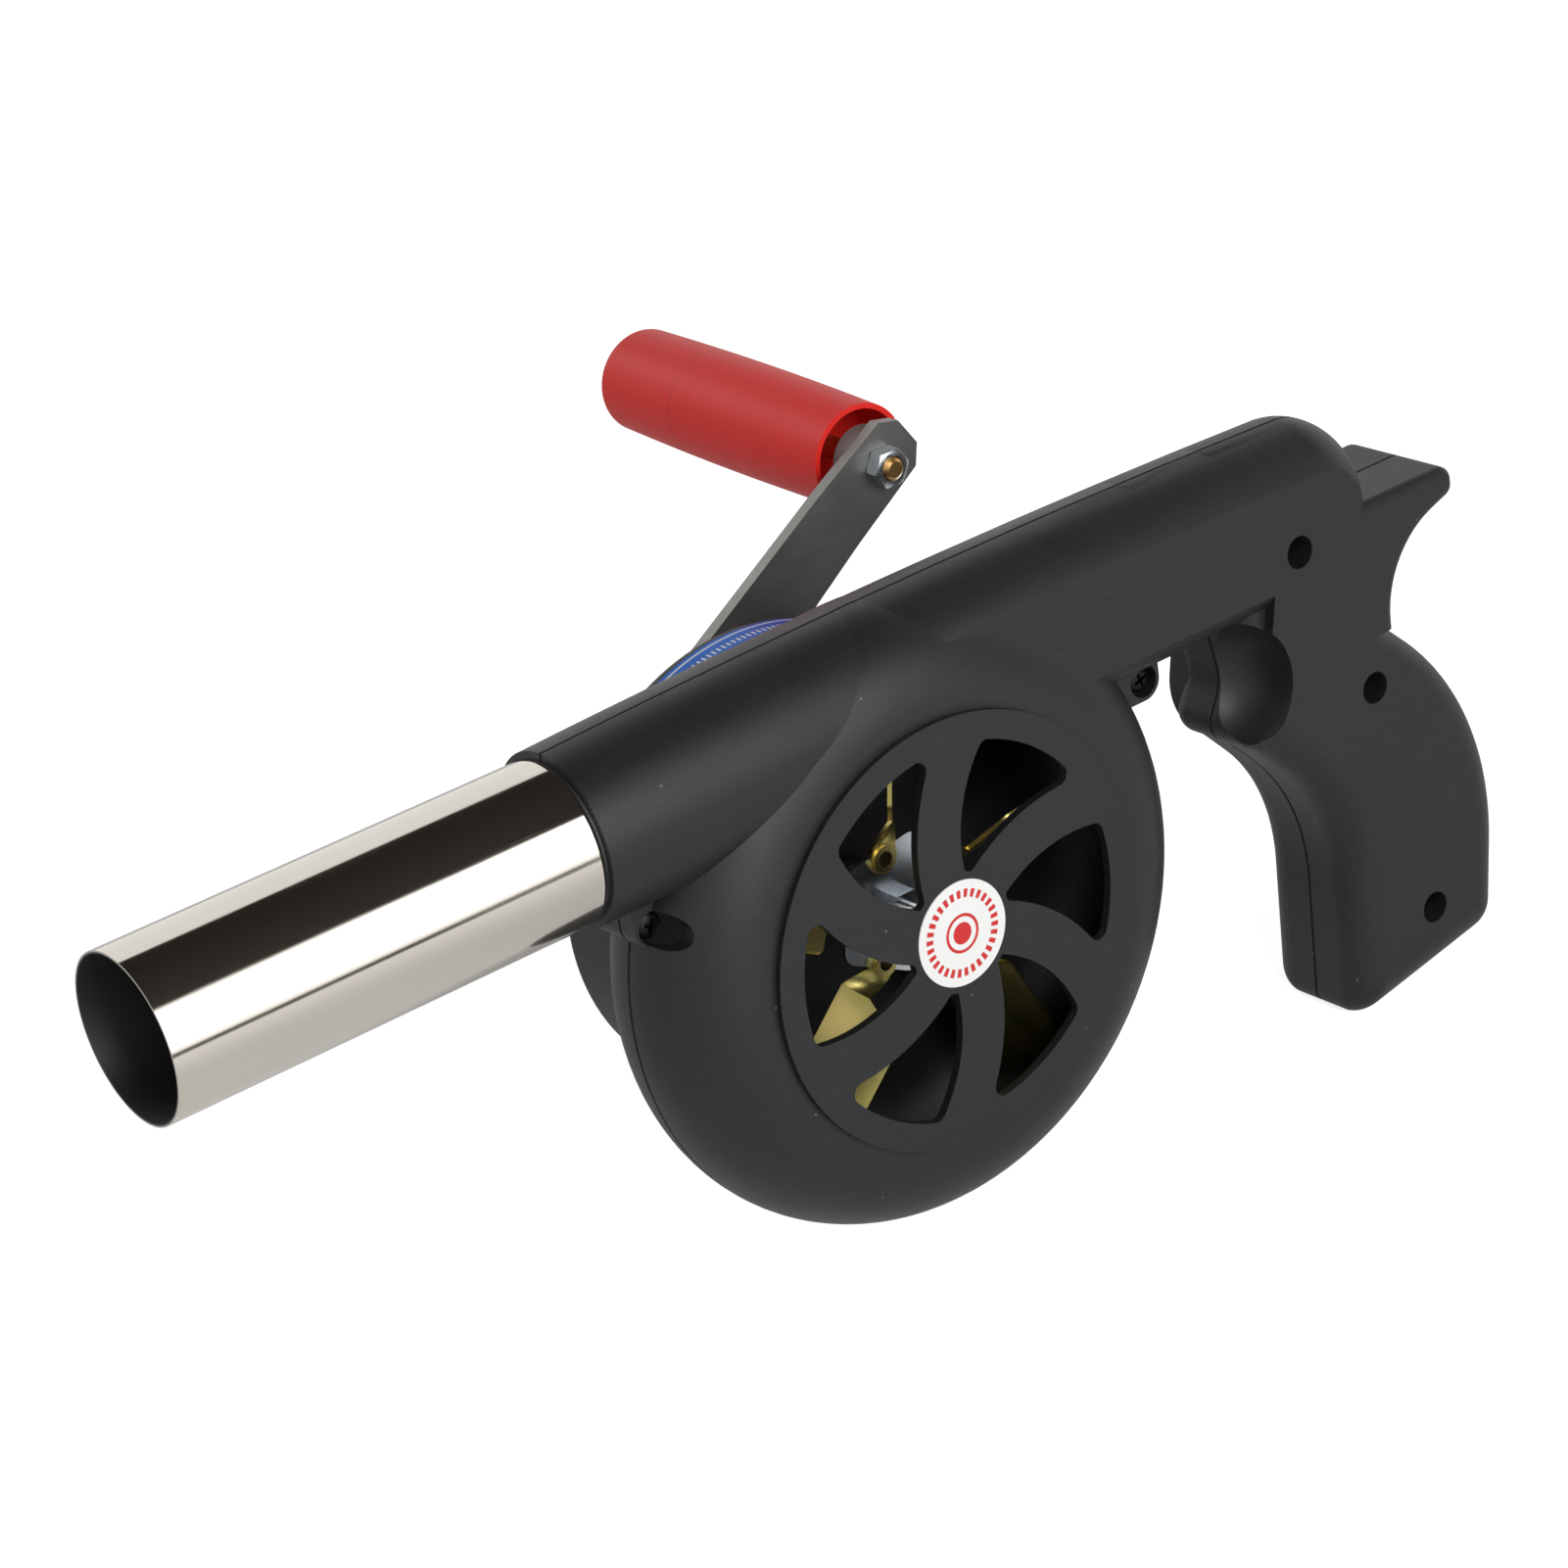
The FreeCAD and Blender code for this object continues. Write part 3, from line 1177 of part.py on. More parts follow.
def blade_shape():
    """One blade in its own axes: X away from the eyelet, Y across, Z to the rear of the blower."""
    twist = math.radians(size("blade_twist_angle").value)
    tab = Part.makeCylinder(size("tab_radius").value, thickness)
    start = size("neck_start").value
    half = size("neck_half").value
    tab = tab.fuse(Part.makeBox(start, 2 * half, thickness, V(0, -half, 0)))
    tab = tab.cut(Part.makeCylinder(size("eyelet_radius").value, 3 * thickness, V(0, 0, -thickness)))
    root = size("paddle_root").value
    back = V(0, size("paddle_back").value, size("paddle_back_y").value + thickness)
    across = V(0, math.cos(twist), -math.sin(twist))
    normal = V(0, math.sin(twist), math.cos(twist))
    end_x = size("paddle_start").value

    def section(share):
        """The neck's cross-section at a share of its length."""
        turn = twist * share
        wide = V(0, math.cos(turn), -math.sin(turn))
        thick = V(0, math.sin(turn), math.cos(turn))
        paddle_middle = back + across * (root / 2)
        reach = half + (root / 2 - half) * share
        middle = paddle_middle * share + V(start + (end_x - start) * share, 0, 0)
        corners = [middle - wide * reach, middle + wide * reach,
                   middle + wide * reach + thick * thickness, middle - wide * reach + thick * thickness]
        return Part.makePolygon(corners + corners[:1])

    neck = Part.makeLoft([section(share / 4) for share in range(5)], True, False)

    def spot(x, s):
        return back + V(x, 0, 0) + across * s

    wide = size("paddle_width").value
    far = size("paddle_end").value
    shoulder = size("paddle_shoulder").value
    rounding = size("paddle_round").value
    outline = [spot(end_x, 0), spot(far, 0), spot(far, wide), spot(shoulder, wide), spot(end_x, root)]
    edges = []
    arcs = [(outline[0],) * 3]
    for i in (1, 2, 3):
        arcs.append(corner_arc(outline[i - 1], outline[i], outline[(i + 1) % 5], rounding))
    arcs.append((outline[4],) * 3)
    for i in range(5):
        edges.append(Part.makeLine(arcs[i][2], arcs[(i + 1) % 5][0]))
        if i + 1 in (1, 2, 3):
            edges.append(Part.Arc(*arcs[i + 1]).toShape())
    paddle = Part.Face(Part.Wire(edges)).extrude(normal * thickness)
    return tab.fuse([neck, paddle])


blade = blade_shape()
for i in range(blade_count):
    direction = size("blade_first_angle").value + blade_pitch * i
    eyelet_x = fan_x.value + size("eyelet_ring").value * math.cos(math.radians(direction))
    eyelet_z = fan_z.value + size("eyelet_ring").value * math.sin(math.radians(direction))
    sweep = math.radians(direction + size("blade_sweep_angle").value)
    outward = V(math.cos(sweep), 0, math.sin(sweep))
    sideways = V(-math.sin(sweep), 0, math.cos(sweep))
    frame = FreeCAD.Placement(V(eyelet_x, -thickness, eyelet_z),
                              FreeCAD.Rotation(outward, sideways, V(0, -1, 0), "ZXY"))
    shape = blade.copy()
    shape = shape.transformGeometry(FreeCAD.Matrix(1, 0, 0, 0, 0, 1, 0, 0, 0, 0, -1, 0))
    shape.Placement = frame
    gear_feature("impeller_blade_%d" % (i + 1), shape)

eyelet_inner_end = size("eyelet_rim") + size("blade_thickness") + size("hub_thickness")
eyelet_end = eyelet_inner_end + size("eyelet_rim")
eyelet_sketch = rounded_outline("eyelet_section", [
    (0, size("eyelet_bore"), 0),
    (0, size("eyelet_flange"), 0),
    (size("eyelet_rim"), size("eyelet_flange"), 0),
    (size("eyelet_rim"), size("eyelet_radius"), 0),
    (eyelet_inner_end, size("eyelet_radius"), 0),
    (eyelet_inner_end, size("eyelet_flange"), 0),
    (eyelet_end, size("eyelet_flange"), 0),
    (eyelet_end, size("eyelet_bore"), 0),
])
eyelets = []
for i in range(blade_count):
    angle = size("blade_first_angle") + blade_pitch * i
    eyelet = turned("eyelet_%d" % i, eyelet_sketch)
    eyelet.Placement = FreeCAD.Placement(ORIGIN, FreeCAD.Rotation(V(0, 0, 1), 90))
    put(eyelet, fan_x + size("eyelet_ring") * cosine(angle), -size("blade_thickness") - size("eyelet_rim"),
        fan_z + size("eyelet_ring") * sine(angle))
    eyelets.append(eyelet)
impeller_eyelets = doc.addObject("Part::Compound", "impeller_eyelets")
impeller_eyelets.Links = eyelets

# ---- crank arm ----

arm_angle = math.radians(size("arm_angle").value)
along_arm = V(math.cos(arm_angle), 0, math.sin(arm_angle))
across_arm = V(math.sin(arm_angle), 0, -math.cos(arm_angle))
arm_frame = FreeCAD.Placement(V(crank_x.value, arm_seat.value, crank_z.value),
                              FreeCAD.Rotation(along_arm, across_arm, V(0, 1, 0), "ZXY"))
bend_x = size("arm_length") - size("arm_bend")
arm_end = size("arm_length") + size("arm_overhang")
hub_end = -size("arm_hub_half")
chamfer = size("arm_tip_chamfer")
arm_corners = [
    (hub_end, size("arm_hub_half") - chamfer, 0),
    (hub_end + chamfer, size("arm_hub_half"), 0),
    (arm_end - chamfer, size("arm_tip_half"), 0),
    (arm_end, size("arm_tip_half") - chamfer, 0),
    (arm_end, chamfer - size("arm_tip_half"), 0),
    (arm_end - chamfer, -size("arm_tip_half"), 0),
    (hub_end + chamfer, -size("arm_hub_half"), 0),
    (hub_end, chamfer - size("arm_hub_half"), 0),
]
thick = size("arm_thickness")
lean = size("handle_lean_angle")
tip_run = arm_end - bend_x
strip_corners = [
    (hub_end, 0, 0),
    (bend_x, 0, size("arm_bend_round")),
    (bend_x + tip_run * cosine(lean), -tip_run * sine(lean), 0),
    (bend_x + tip_run * cosine(lean) + thick * sine(lean), thick * cosine(lean) - tip_run * sine(lean), 0),
    (bend_x + thick * sine(lean) / (1 + cosine(lean)), thick, size("arm_bend_round")),
    (hub_end, thick, 0),
]
strip_sketch = rounded_outline("arm_strip_outline", strip_corners)
strip_sketch.Placement = SIDE_VIEW
arm_strip = plate("arm_strip", strip_sketch, 4 * size("arm_hub_half"), True)
arm_blank = plate("arm_blank", rounded_outline("arm_outline", arm_corners), 4 * size("arm_hub_half"), True)
bend_line = V(bend_x.value, 0, 0)
tip_bend = FreeCAD.Placement(bend_line, FreeCAD.Rotation(V(0, 1, 0), lean.value)) \
    * FreeCAD.Placement(-bend_line, FreeCAD.Rotation())


def arm_hole(name, x, radius, frame):
    hole = doc.addObject("Part::Cylinder", name)
    bind(hole, "Radius", radius)
    bind(hole, "Height", size("arm_thickness") * 3)
    start = V(x.value, 0, -size("arm_thickness").value)
    hole.Placement = frame * FreeCAD.Placement(start, FreeCAD.Rotation())
    return hole


hub_hole = arm_hole("arm_hub_hole", length(0), pivot_end, FreeCAD.Placement())
tip_hole = arm_hole("arm_tip_hole", size("arm_length"), size("bolt_radius"), tip_bend)
crank_arm = cut("crank_arm", common("arm_solid", arm_strip, arm_blank), [hub_hole, tip_hole])
crank_arm.Placement = arm_frame

arm_outer = arm_seat + size("arm_thickness")
bush("crank_washer", pivot_end, size("washer_radius"), arm_outer, arm_outer + size("washer_thickness"),
     crank_x, crank_z)
crank_nut = hexagon("crank_nut", size("hub_nut_flats"), size("hub_nut_height"), pivot_end)
crank_nut.Placement = FreeCAD.Placement(ORIGIN, TO_Y)
put(crank_nut, crank_x, arm_outer + size("washer_thickness"), crank_z)

# ---- handle, in axes that lean with the arm's tip: Z runs out along the handle ----

handle_frame = arm_frame * tip_bend * FreeCAD.Placement(V(size("arm_length").value, 0, 0), FreeCAD.Rotation())
STAND_UP = FreeCAD.Rotation(V(0, 1, 0), -90)


def on_handle(thing, shift=0.0):
    """Lays a turned piece, whose own axis is X, along the handle's axis."""
    thing.Placement = handle_frame * FreeCAD.Placement(V(0, 0, shift), STAND_UP)
    return thing


handle_nut = hexagon("handle_nut", size("nut_flats"), size("nut_height"), size("bolt_radius"))
handle_nut.Placement = handle_frame * FreeCAD.Placement(V(0, 0, -size("nut_height").value),
                                                        FreeCAD.Rotation(V(0, 0, 1), 30))
spacer_start = size("arm_thickness")
handle_start = spacer_start + size("spacer_length") + size("handle_gap")
bolt_tip = -size("nut_height") - size("bolt_proud")
bolt_seat = bolt_tip + size("bolt_length")
bolt_sketch = rounded_outline("bolt_section", [
    (bolt_tip, 0, 0),
    (bolt_tip, size("bolt_radius"), 0),
    (bolt_seat, size("bolt_radius"), 0),
    (bolt_seat, size("bolt_head"), 0),
    (bolt_seat + size("bolt_head_height"), size("bolt_head"), 0),
    (bolt_seat + size("bolt_head_height"), 0, 0),
])
on_handle(turned("handle_bolt", bolt_sketch))
spacer_sketch = rounded_outline("spacer_section", [
    (spacer_start, size("bolt_radius"), 0),
    (spacer_start, size("spacer_radius"), 0),
    (spacer_start + size("spacer_length"), size("spacer_radius"), 0),
    (spacer_start + size("spacer_length"), size("bolt_radius"), 0),
])
on_handle(turned("handle_spacer", spacer_sketch))

handle_finish = handle_start + size("handle_length")
handle_bore = size("bolt_radius") + shaft_play
socket_floor = handle_start + size("handle_socket_depth")
head_room = size("bolt_head") + size("handle_head_play")
head_floor = bolt_seat - size("handle_gap")
half_handle = size("handle_length") / 2
bulge = 2 * (size("handle_belly") - size("handle_end"))
handle_sketch = rounded_outline("handle_section", [
    (handle_start, size("handle_socket"), 0),
    (handle_start, size("handle_end"), 0),
    (handle_start + half_handle, size("handle_end") + bulge,
     size("belly_ratio") * half_handle * half_handle / bulge),
    (handle_finish, size("handle_end"), size("handle_round")),
    (handle_finish, head_room, 0),
    (head_floor, head_room, 0),
    (head_floor, handle_bore, 0),
    (socket_floor, handle_bore, 0),
    (socket_floor, size("handle_socket"), 0),
])
on_handle(turned("handle_grip", handle_sketch))

# ---- checks and export ----

NODES = [
    "front_shell", "rear_shell", "nozzle_tube", "gear_cover", "grille_label", "cover_label", "grip_screws",
    "ear_screws", "cover_screws", "impeller_bushes", "crank_bush", "idler_pin",
    "impeller_shaft", "impeller_collar", "impeller_hub_plate", "impeller_eyelets", "impeller_nut",
    "impeller_pinion", "idler_gear", "crank_gear", "crank_shaft", "crank_arm", "crank_washer", "crank_nut",
    "handle_bolt", "handle_nut", "handle_spacer", "handle_grip",
] + ["impeller_blade_%d" % (i + 1) for i in range(blade_count)]

doc.recompute()
failed = [thing.Label for thing in doc.Objects if "Invalid" in thing.State or "Error" in thing.State]
if failed:
    raise RuntimeError("did not build: %s" % failed)
os.makedirs("parts", exist_ok=True)
for node in NODES:
    shape = doc.getObjectsByLabel(node)[0].Shape
    if shape.isNull() or not shape.isValid():
        raise RuntimeError("%s is not a valid solid" % node)
    print("%-22s solids %d volume %.1f" % (node, len(shape.Solids), shape.Volume))
for node in NODES:
    doc.getObjectsByLabel(node)[0].Shape.exportStep("parts/%s.step" % node)
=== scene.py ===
# %% [markdown]
# # A hand-cranked blower, dressed for its portrait
# The blower is already built as solid parts: a moulded housing in two halves, a steel nozzle, an
# impeller behind a slotted grille, a train of gears and a crank with a turning handle. Here those
# parts get their finishes, and the small things that a solid model leaves out. We start by loading
# the parts. They stay where they are, and every new piece is placed from their own sizes.

# %% Load the parts
import json
import math
from types import SimpleNamespace

import bpy
from mathutils import Matrix, Vector


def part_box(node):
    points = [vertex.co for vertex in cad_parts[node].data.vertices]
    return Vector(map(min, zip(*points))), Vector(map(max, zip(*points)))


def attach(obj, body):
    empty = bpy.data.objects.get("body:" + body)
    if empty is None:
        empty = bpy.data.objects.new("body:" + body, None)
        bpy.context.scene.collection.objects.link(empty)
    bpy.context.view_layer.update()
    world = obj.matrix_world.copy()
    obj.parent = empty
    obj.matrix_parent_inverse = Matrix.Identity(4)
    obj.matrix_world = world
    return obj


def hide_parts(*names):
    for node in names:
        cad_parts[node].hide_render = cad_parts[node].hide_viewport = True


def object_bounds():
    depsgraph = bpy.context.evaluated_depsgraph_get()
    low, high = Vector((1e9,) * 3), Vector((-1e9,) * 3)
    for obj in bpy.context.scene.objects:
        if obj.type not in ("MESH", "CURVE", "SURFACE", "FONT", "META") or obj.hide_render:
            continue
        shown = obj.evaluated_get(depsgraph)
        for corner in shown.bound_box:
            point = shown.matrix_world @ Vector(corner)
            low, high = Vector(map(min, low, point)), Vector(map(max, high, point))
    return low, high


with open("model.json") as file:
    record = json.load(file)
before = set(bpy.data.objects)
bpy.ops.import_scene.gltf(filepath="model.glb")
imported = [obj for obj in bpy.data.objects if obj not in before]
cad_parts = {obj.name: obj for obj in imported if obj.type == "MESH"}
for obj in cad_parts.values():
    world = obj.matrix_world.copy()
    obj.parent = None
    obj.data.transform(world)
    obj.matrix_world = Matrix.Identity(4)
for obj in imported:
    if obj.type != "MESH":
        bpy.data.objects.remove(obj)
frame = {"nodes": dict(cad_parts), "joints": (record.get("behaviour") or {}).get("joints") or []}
solid_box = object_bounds()
parts = frame["nodes"]
joints = {joint["name"]: joint for joint in frame["joints"]}
MM = 0.001

# %% [markdown]
# The places that the finishes and new pieces need are read from the parts and their joints. They
# could be typed in as numbers, but then the scene would have to be mended by hand whenever a size of
# the blower changes. The fan's axis carries both labels, and the crank's axis carries the arm.

# %% Places taken from the parts
fan_axis = Vector(joints["impeller_turn"]["pos_m"])
crank_axis = Vector(joints["crank_turn"]["pos_m"])
handle_axis = Vector(joints["handle_spin"]["axis"]).normalized()
handle_foot = Vector(joints["handle_spin"]["pos_m"])
nozzle_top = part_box("nozzle_tube")[1].z
cover_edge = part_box("gear_cover")[0].y
band_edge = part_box("cover_label")[0].y
crank_nut_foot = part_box("crank_nut")[0].y
print("fan axis at", [round(value, 4) for value in fan_axis])

# %% [markdown]
# ## Colours
# Colours are easier to name as screen values from 0 to 255. Shaders work in linear light, so one
# small function turns the first into the second.

# %% Screen colour to shader colour
def paint(red, green, blue):
    """A screen colour, 0 to 255, as the linear colour that a shader wants."""
    def linear(value):
        value /= 255
        return value / 12.92 if value <= 0.04045 else ((value + 0.055) / 1.055) ** 2.4
    return (linear(red), linear(green), linear(blue), 1.0)

# %% [markdown]
# ## Effects that several finishes share
# Real surfaces are never one flat colour. Mottle drifts the colour slowly from place to place, as
# flow marks and handling do. Grain makes the gloss uneven and raises fine bumps. Scratches are long
# thin marks, and specks are scattered dots of dust. The same nodes could be laid in every material,
# but a node group is built once, has named inputs, and takes its own values wherever it is used.

# %% Helpers that place and wire nodes
def add_node(tree, kind, **properties):
    """Adds a node and sets its properties."""
    made = tree.nodes.new(kind)
    for name, value in properties.items():
        setattr(made, name, value)
    return made


def feed(tree, socket, source):
    """Links a socket to another, or gives it a plain value."""
    if isinstance(source, bpy.types.NodeSocket):
        tree.links.new(source, socket)
    else:
        socket.default_value = source


def maths(tree, operation, first, second=0.0):
    """One Math node, returned as its output."""
    made = add_node(tree, "ShaderNodeMath", operation=operation)
    feed(tree, made.inputs[0], first)
    feed(tree, made.inputs[1], second)
    return made.outputs[0]


def spread(tree, value, low, high, to_low=0.0, to_high=1.0):
    """Maps a value smoothly from one range to another, without going past it."""
    made = add_node(tree, "ShaderNodeMapRange", interpolation_type="SMOOTHSTEP")
    for name, source in zip(("Value", "From Min", "From Max", "To Min", "To Max"),
                            (value, low, high, to_low, to_high)):
        feed(tree, made.inputs[name], source)
    return made.outputs[0]


def blend_colour(tree, share, first, second, how="MIX"):
    """A colour mix, returned as its output; the sockets 6, 7 and 2 are the ones for colours."""
    made = add_node(tree, "ShaderNodeMix", data_type="RGBA", blend_type=how)
    feed(tree, made.inputs["Factor"], share)
    feed(tree, made.inputs[6], first)
    feed(tree, made.inputs[7], second)
    return made.outputs[2]

# %% Start of a node group
def new_group(name, inputs, outputs):
    """A shader node group with named sockets; inputs are (name, kind, value)."""
    group = bpy.data.node_groups.new(name, "ShaderNodeTree")
    for title, kind, value in inputs:
        socket = group.interface.new_socket(title, in_out="INPUT", socket_type="NodeSocket" + kind)
        if value is not None:
            socket.default_value = value
    for title, kind in outputs:
        group.interface.new_socket(title, in_out="OUTPUT", socket_type="NodeSocket" + kind)
    entry = group.nodes.new("NodeGroupInput")
    leave = group.nodes.new("NodeGroupOutput")
    return group, entry.outputs, leave.inputs

# %% [markdown]
# A noise texture gives values round a half. Mottle takes the half away, scales what is left, and
# multiplies the colour by one plus that, so that the colour drifts both ways and keeps its hue.

# %% The mottle group
mottle, given, result = new_group(
    "Mottle",
    [("Vector", "Vector", None), ("Colour", "Color", paint(128, 128, 128)),
     ("Patch", "Float", 20 * MM), ("Strength", "Float", 0.1)],
    [("Colour", "Color")])
patches = add_node(mottle, "ShaderNodeTexNoise")
patches.inputs["Detail"].default_value = 3
feed(mottle, patches.inputs["Vector"], given["Vector"])
feed(mottle, patches.inputs["Scale"], maths(mottle, "DIVIDE", 1.0, given["Patch"]))
off_middle = maths(mottle, "SUBTRACT", patches.outputs["Fac"], 0.5)
swing = maths(mottle, "MULTIPLY", off_middle, given["Strength"])
factor = maths(mottle, "ADD", 1.0, maths(mottle, "MULTIPLY", swing, 2.0))
grey = add_node(mottle, "ShaderNodeCombineColor")
for channel in ("Red", "Green", "Blue"):
    feed(mottle, grey.inputs[channel], factor)
drifted = blend_colour(mottle, 1.0, given["Colour"], grey.outputs[0], "MULTIPLY")
feed(mottle, result["Colour"], drifted)
print("made group", mottle.name)

# %% The grain group
BROAD_PATCHES = 0.02
grain, given, result = new_group(
    "Grain",
    [("Vector", "Vector", None), ("Size", "Float", 0.4 * MM), ("Roughness", "Float", 0.5),
     ("Unevenness", "Float", 0.1)],
    [("Roughness", "Float"), ("Height", "Float")])
fine = add_node(grain, "ShaderNodeTexNoise")
fine.inputs["Detail"].default_value = 2
feed(grain, fine.inputs["Vector"], given["Vector"])
feed(grain, fine.inputs["Scale"], maths(grain, "DIVIDE", 1.0, given["Size"]))
broad = add_node(grain, "ShaderNodeTexNoise")
feed(grain, broad.inputs["Vector"], given["Vector"])
feed(grain, broad.inputs["Scale"], maths(grain, "DIVIDE", BROAD_PATCHES, given["Size"]))
off_middle = maths(grain, "SUBTRACT", broad.outputs["Fac"], 0.5)
uneven = maths(grain, "MULTIPLY", off_middle, given["Unevenness"])
feed(grain, result["Roughness"], maths(grain, "ADD", given["Roughness"], uneven))
feed(grain, result["Height"], fine.outputs["Fac"])
print("made group", grain.name)

# %% [markdown]
# A scratch is noise that is stretched along one direction, of which only the highest values are
# kept. The stretch has a length for each axis, so that the marks can run along a tube or an arm.

# %% The scratches group
SCRATCH_START = 0.55
SCRATCH_FULL = 0.75
scratches, given, result = new_group(
    "Scratches",
    [("Vector", "Vector", None), ("Length", "Vector", (0.02, 0.02, 0.02)), ("Amount", "Float", 0.3)],
    [("Mask", "Float")])
stretch = add_node(scratches, "ShaderNodeVectorMath", operation="DIVIDE")
feed(scratches, stretch.inputs[0], given["Vector"])
feed(scratches, stretch.inputs[1], given["Length"])
streaks = add_node(scratches, "ShaderNodeTexNoise")
streaks.inputs["Scale"].default_value = 1
streaks.inputs["Detail"].default_value = 4
streaks.inputs["Roughness"].default_value = 0.7
feed(scratches, streaks.inputs["Vector"], stretch.outputs[0])
highest = spread(scratches, streaks.outputs["Fac"], SCRATCH_START, SCRATCH_FULL)
feed(scratches, result["Mask"], maths(scratches, "MULTIPLY", highest, given["Amount"]))
print("made group", scratches.name)

# %% The specks group
specks, given, result = new_group(
    "Specks",
    [("Vector", "Vector", None), ("Spacing", "Float", 7 * MM), ("Size", "Float", 0.25 * MM),
     ("Share", "Float", 0.4)],
    [("Mask", "Float")])
cells = add_node(specks, "ShaderNodeTexVoronoi")
feed(specks, cells.inputs["Vector"], given["Vector"])
feed(specks, cells.inputs["Scale"], maths(specks, "DIVIDE", 1.0, given["Spacing"]))
reach = maths(specks, "DIVIDE", given["Size"], given["Spacing"])
dot = maths(specks, "LESS_THAN", cells.outputs["Distance"], reach)
pick = add_node(specks, "ShaderNodeSeparateColor")
feed(specks, pick.inputs[0], cells.outputs["Color"])
chosen = maths(specks, "LESS_THAN", pick.outputs[0], given["Share"])
feed(specks, result["Mask"], maths(specks, "MULTIPLY", dot, chosen))
print("made group", specks.name)

# %% [markdown]
# ## Finishes
# Every finish starts in the same way: a Principled shader, the surface's own place as the texture
# coordinate, mottled colour, uneven gloss and a fine bump. Image textures would need every part
# unwrapped. Patterns that are worked out from the place need nothing but the part itself. What is
# the same all over, such as how metallic a piece is, is set on the shader itself.

# %% The common start of a finish
def place_group(tree, group, **values):
    """Puts a node group in a material, with its values."""
    made = tree.nodes.new("ShaderNodeGroup")
    made.node_tree = group
    for name, value in values.items():
        feed(tree, made.inputs[name], value)
    return made.outputs


def new_finish(name, colour, roughness, metallic=0.0, patch=20, strength=0.08, grain_size=0.4,
               unevenness=0.08, bump=0.02):
    """A material with mottled colour, uneven gloss and fine bumps; sizes in millimetres."""
    material = bpy.data.materials.new(name)
    material.use_nodes = True
    tree = material.node_tree
    shader = tree.nodes["Principled BSDF"]
    shader.inputs["Metallic"].default_value = metallic
    where = tree.nodes.new("ShaderNodeTexCoord").outputs["Object"]
    base = place_group(tree, mottle, Vector=where, Colour=colour, Patch=patch * MM,
                       Strength=strength)["Colour"]
    surface = place_group(tree, grain, Vector=where, Size=grain_size * MM, Roughness=roughness,
                          Unevenness=unevenness)
    bumps = tree.nodes.new("ShaderNodeBump")
    bumps.inputs["Distance"].default_value = bump * MM
    feed(tree, bumps.inputs["Height"], surface["Height"])
    feed(tree, shader.inputs["Base Color"], base)
    feed(tree, shader.inputs["Roughness"], surface["Roughness"])
    feed(tree, shader.inputs["Normal"], bumps.outputs["Normal"])
    return SimpleNamespace(material=material, tree=tree, shader=shader, where=where, base=base,
                           gloss=surface["Roughness"], height=surface["Height"], bumps=bumps)


def recolour(finish, share, colour, ground=None):
    """Gives a finish a second colour where a mask says so, over its base or another ground."""
    under = finish.base if ground is None else ground
    mixed = blend_colour(finish.tree, share, under, colour)
    feed(finish.tree, finish.shader.inputs["Base Color"], mixed)


def wear(finish, *names):
    """Gives a finish to parts of the solid model."""
    for name in names:
        for slot in parts[name].material_slots:
            slot.material = finish.material
    print(finish.material.name, "on", ", ".join(names))

# %% Helpers that measure a place on the surface
def split_place(tree, where, centre=(0, 0, 0)):
    """The three coordinates of a place, measured from a centre."""
    centred = add_node(tree, "ShaderNodeMapping")
    centred.inputs["Location"].default_value = [-value for value in centre]
    feed(tree, centred.inputs["Vector"], where)
    apart = add_node(tree, "ShaderNodeSeparateXYZ")
    feed(tree, apart.inputs[0], centred.outputs[0])
    return apart.outputs["X"], apart.outputs["Y"], apart.outputs["Z"]


def length_of(tree, first, second):
    """The distance that two coordinates make."""
    squares = [maths(tree, "MULTIPLY", value, value) for value in (first, second)]
    return maths(tree, "SQRT", maths(tree, "ADD", *squares))


def between(tree, value, low, high, edge):
    """1 between two values, with a soft edge; sizes in millimetres."""
    rise = spread(tree, value, (low - edge) * MM, (low + edge) * MM)
    fall = spread(tree, value, (high - edge) * MM, (high + edge) * MM, 1.0, 0.0)
    return maths(tree, "MULTIPLY", rise, fall)

# %% [markdown]
# ### Moulded black plastic
# The housing is injection moulded with a satin skin. Its two halves meet on the plane y = 0, where
# a fine dark line shows all the way round. The line could be cut into the parts as a groove, but
# they stay as they were built. The finish paints it instead: wherever the surface comes close to
# that plane, it is darker, duller and a little lower. The gear cover meets the rear half on its own
# plane. A few pale specks of dust and some light scuffs keep the black from looking new.

# %% Black plastic
SEAM_CORE = 0.28
SEAM_EDGE = 0.5
SEAM_DEPTH = 14.0


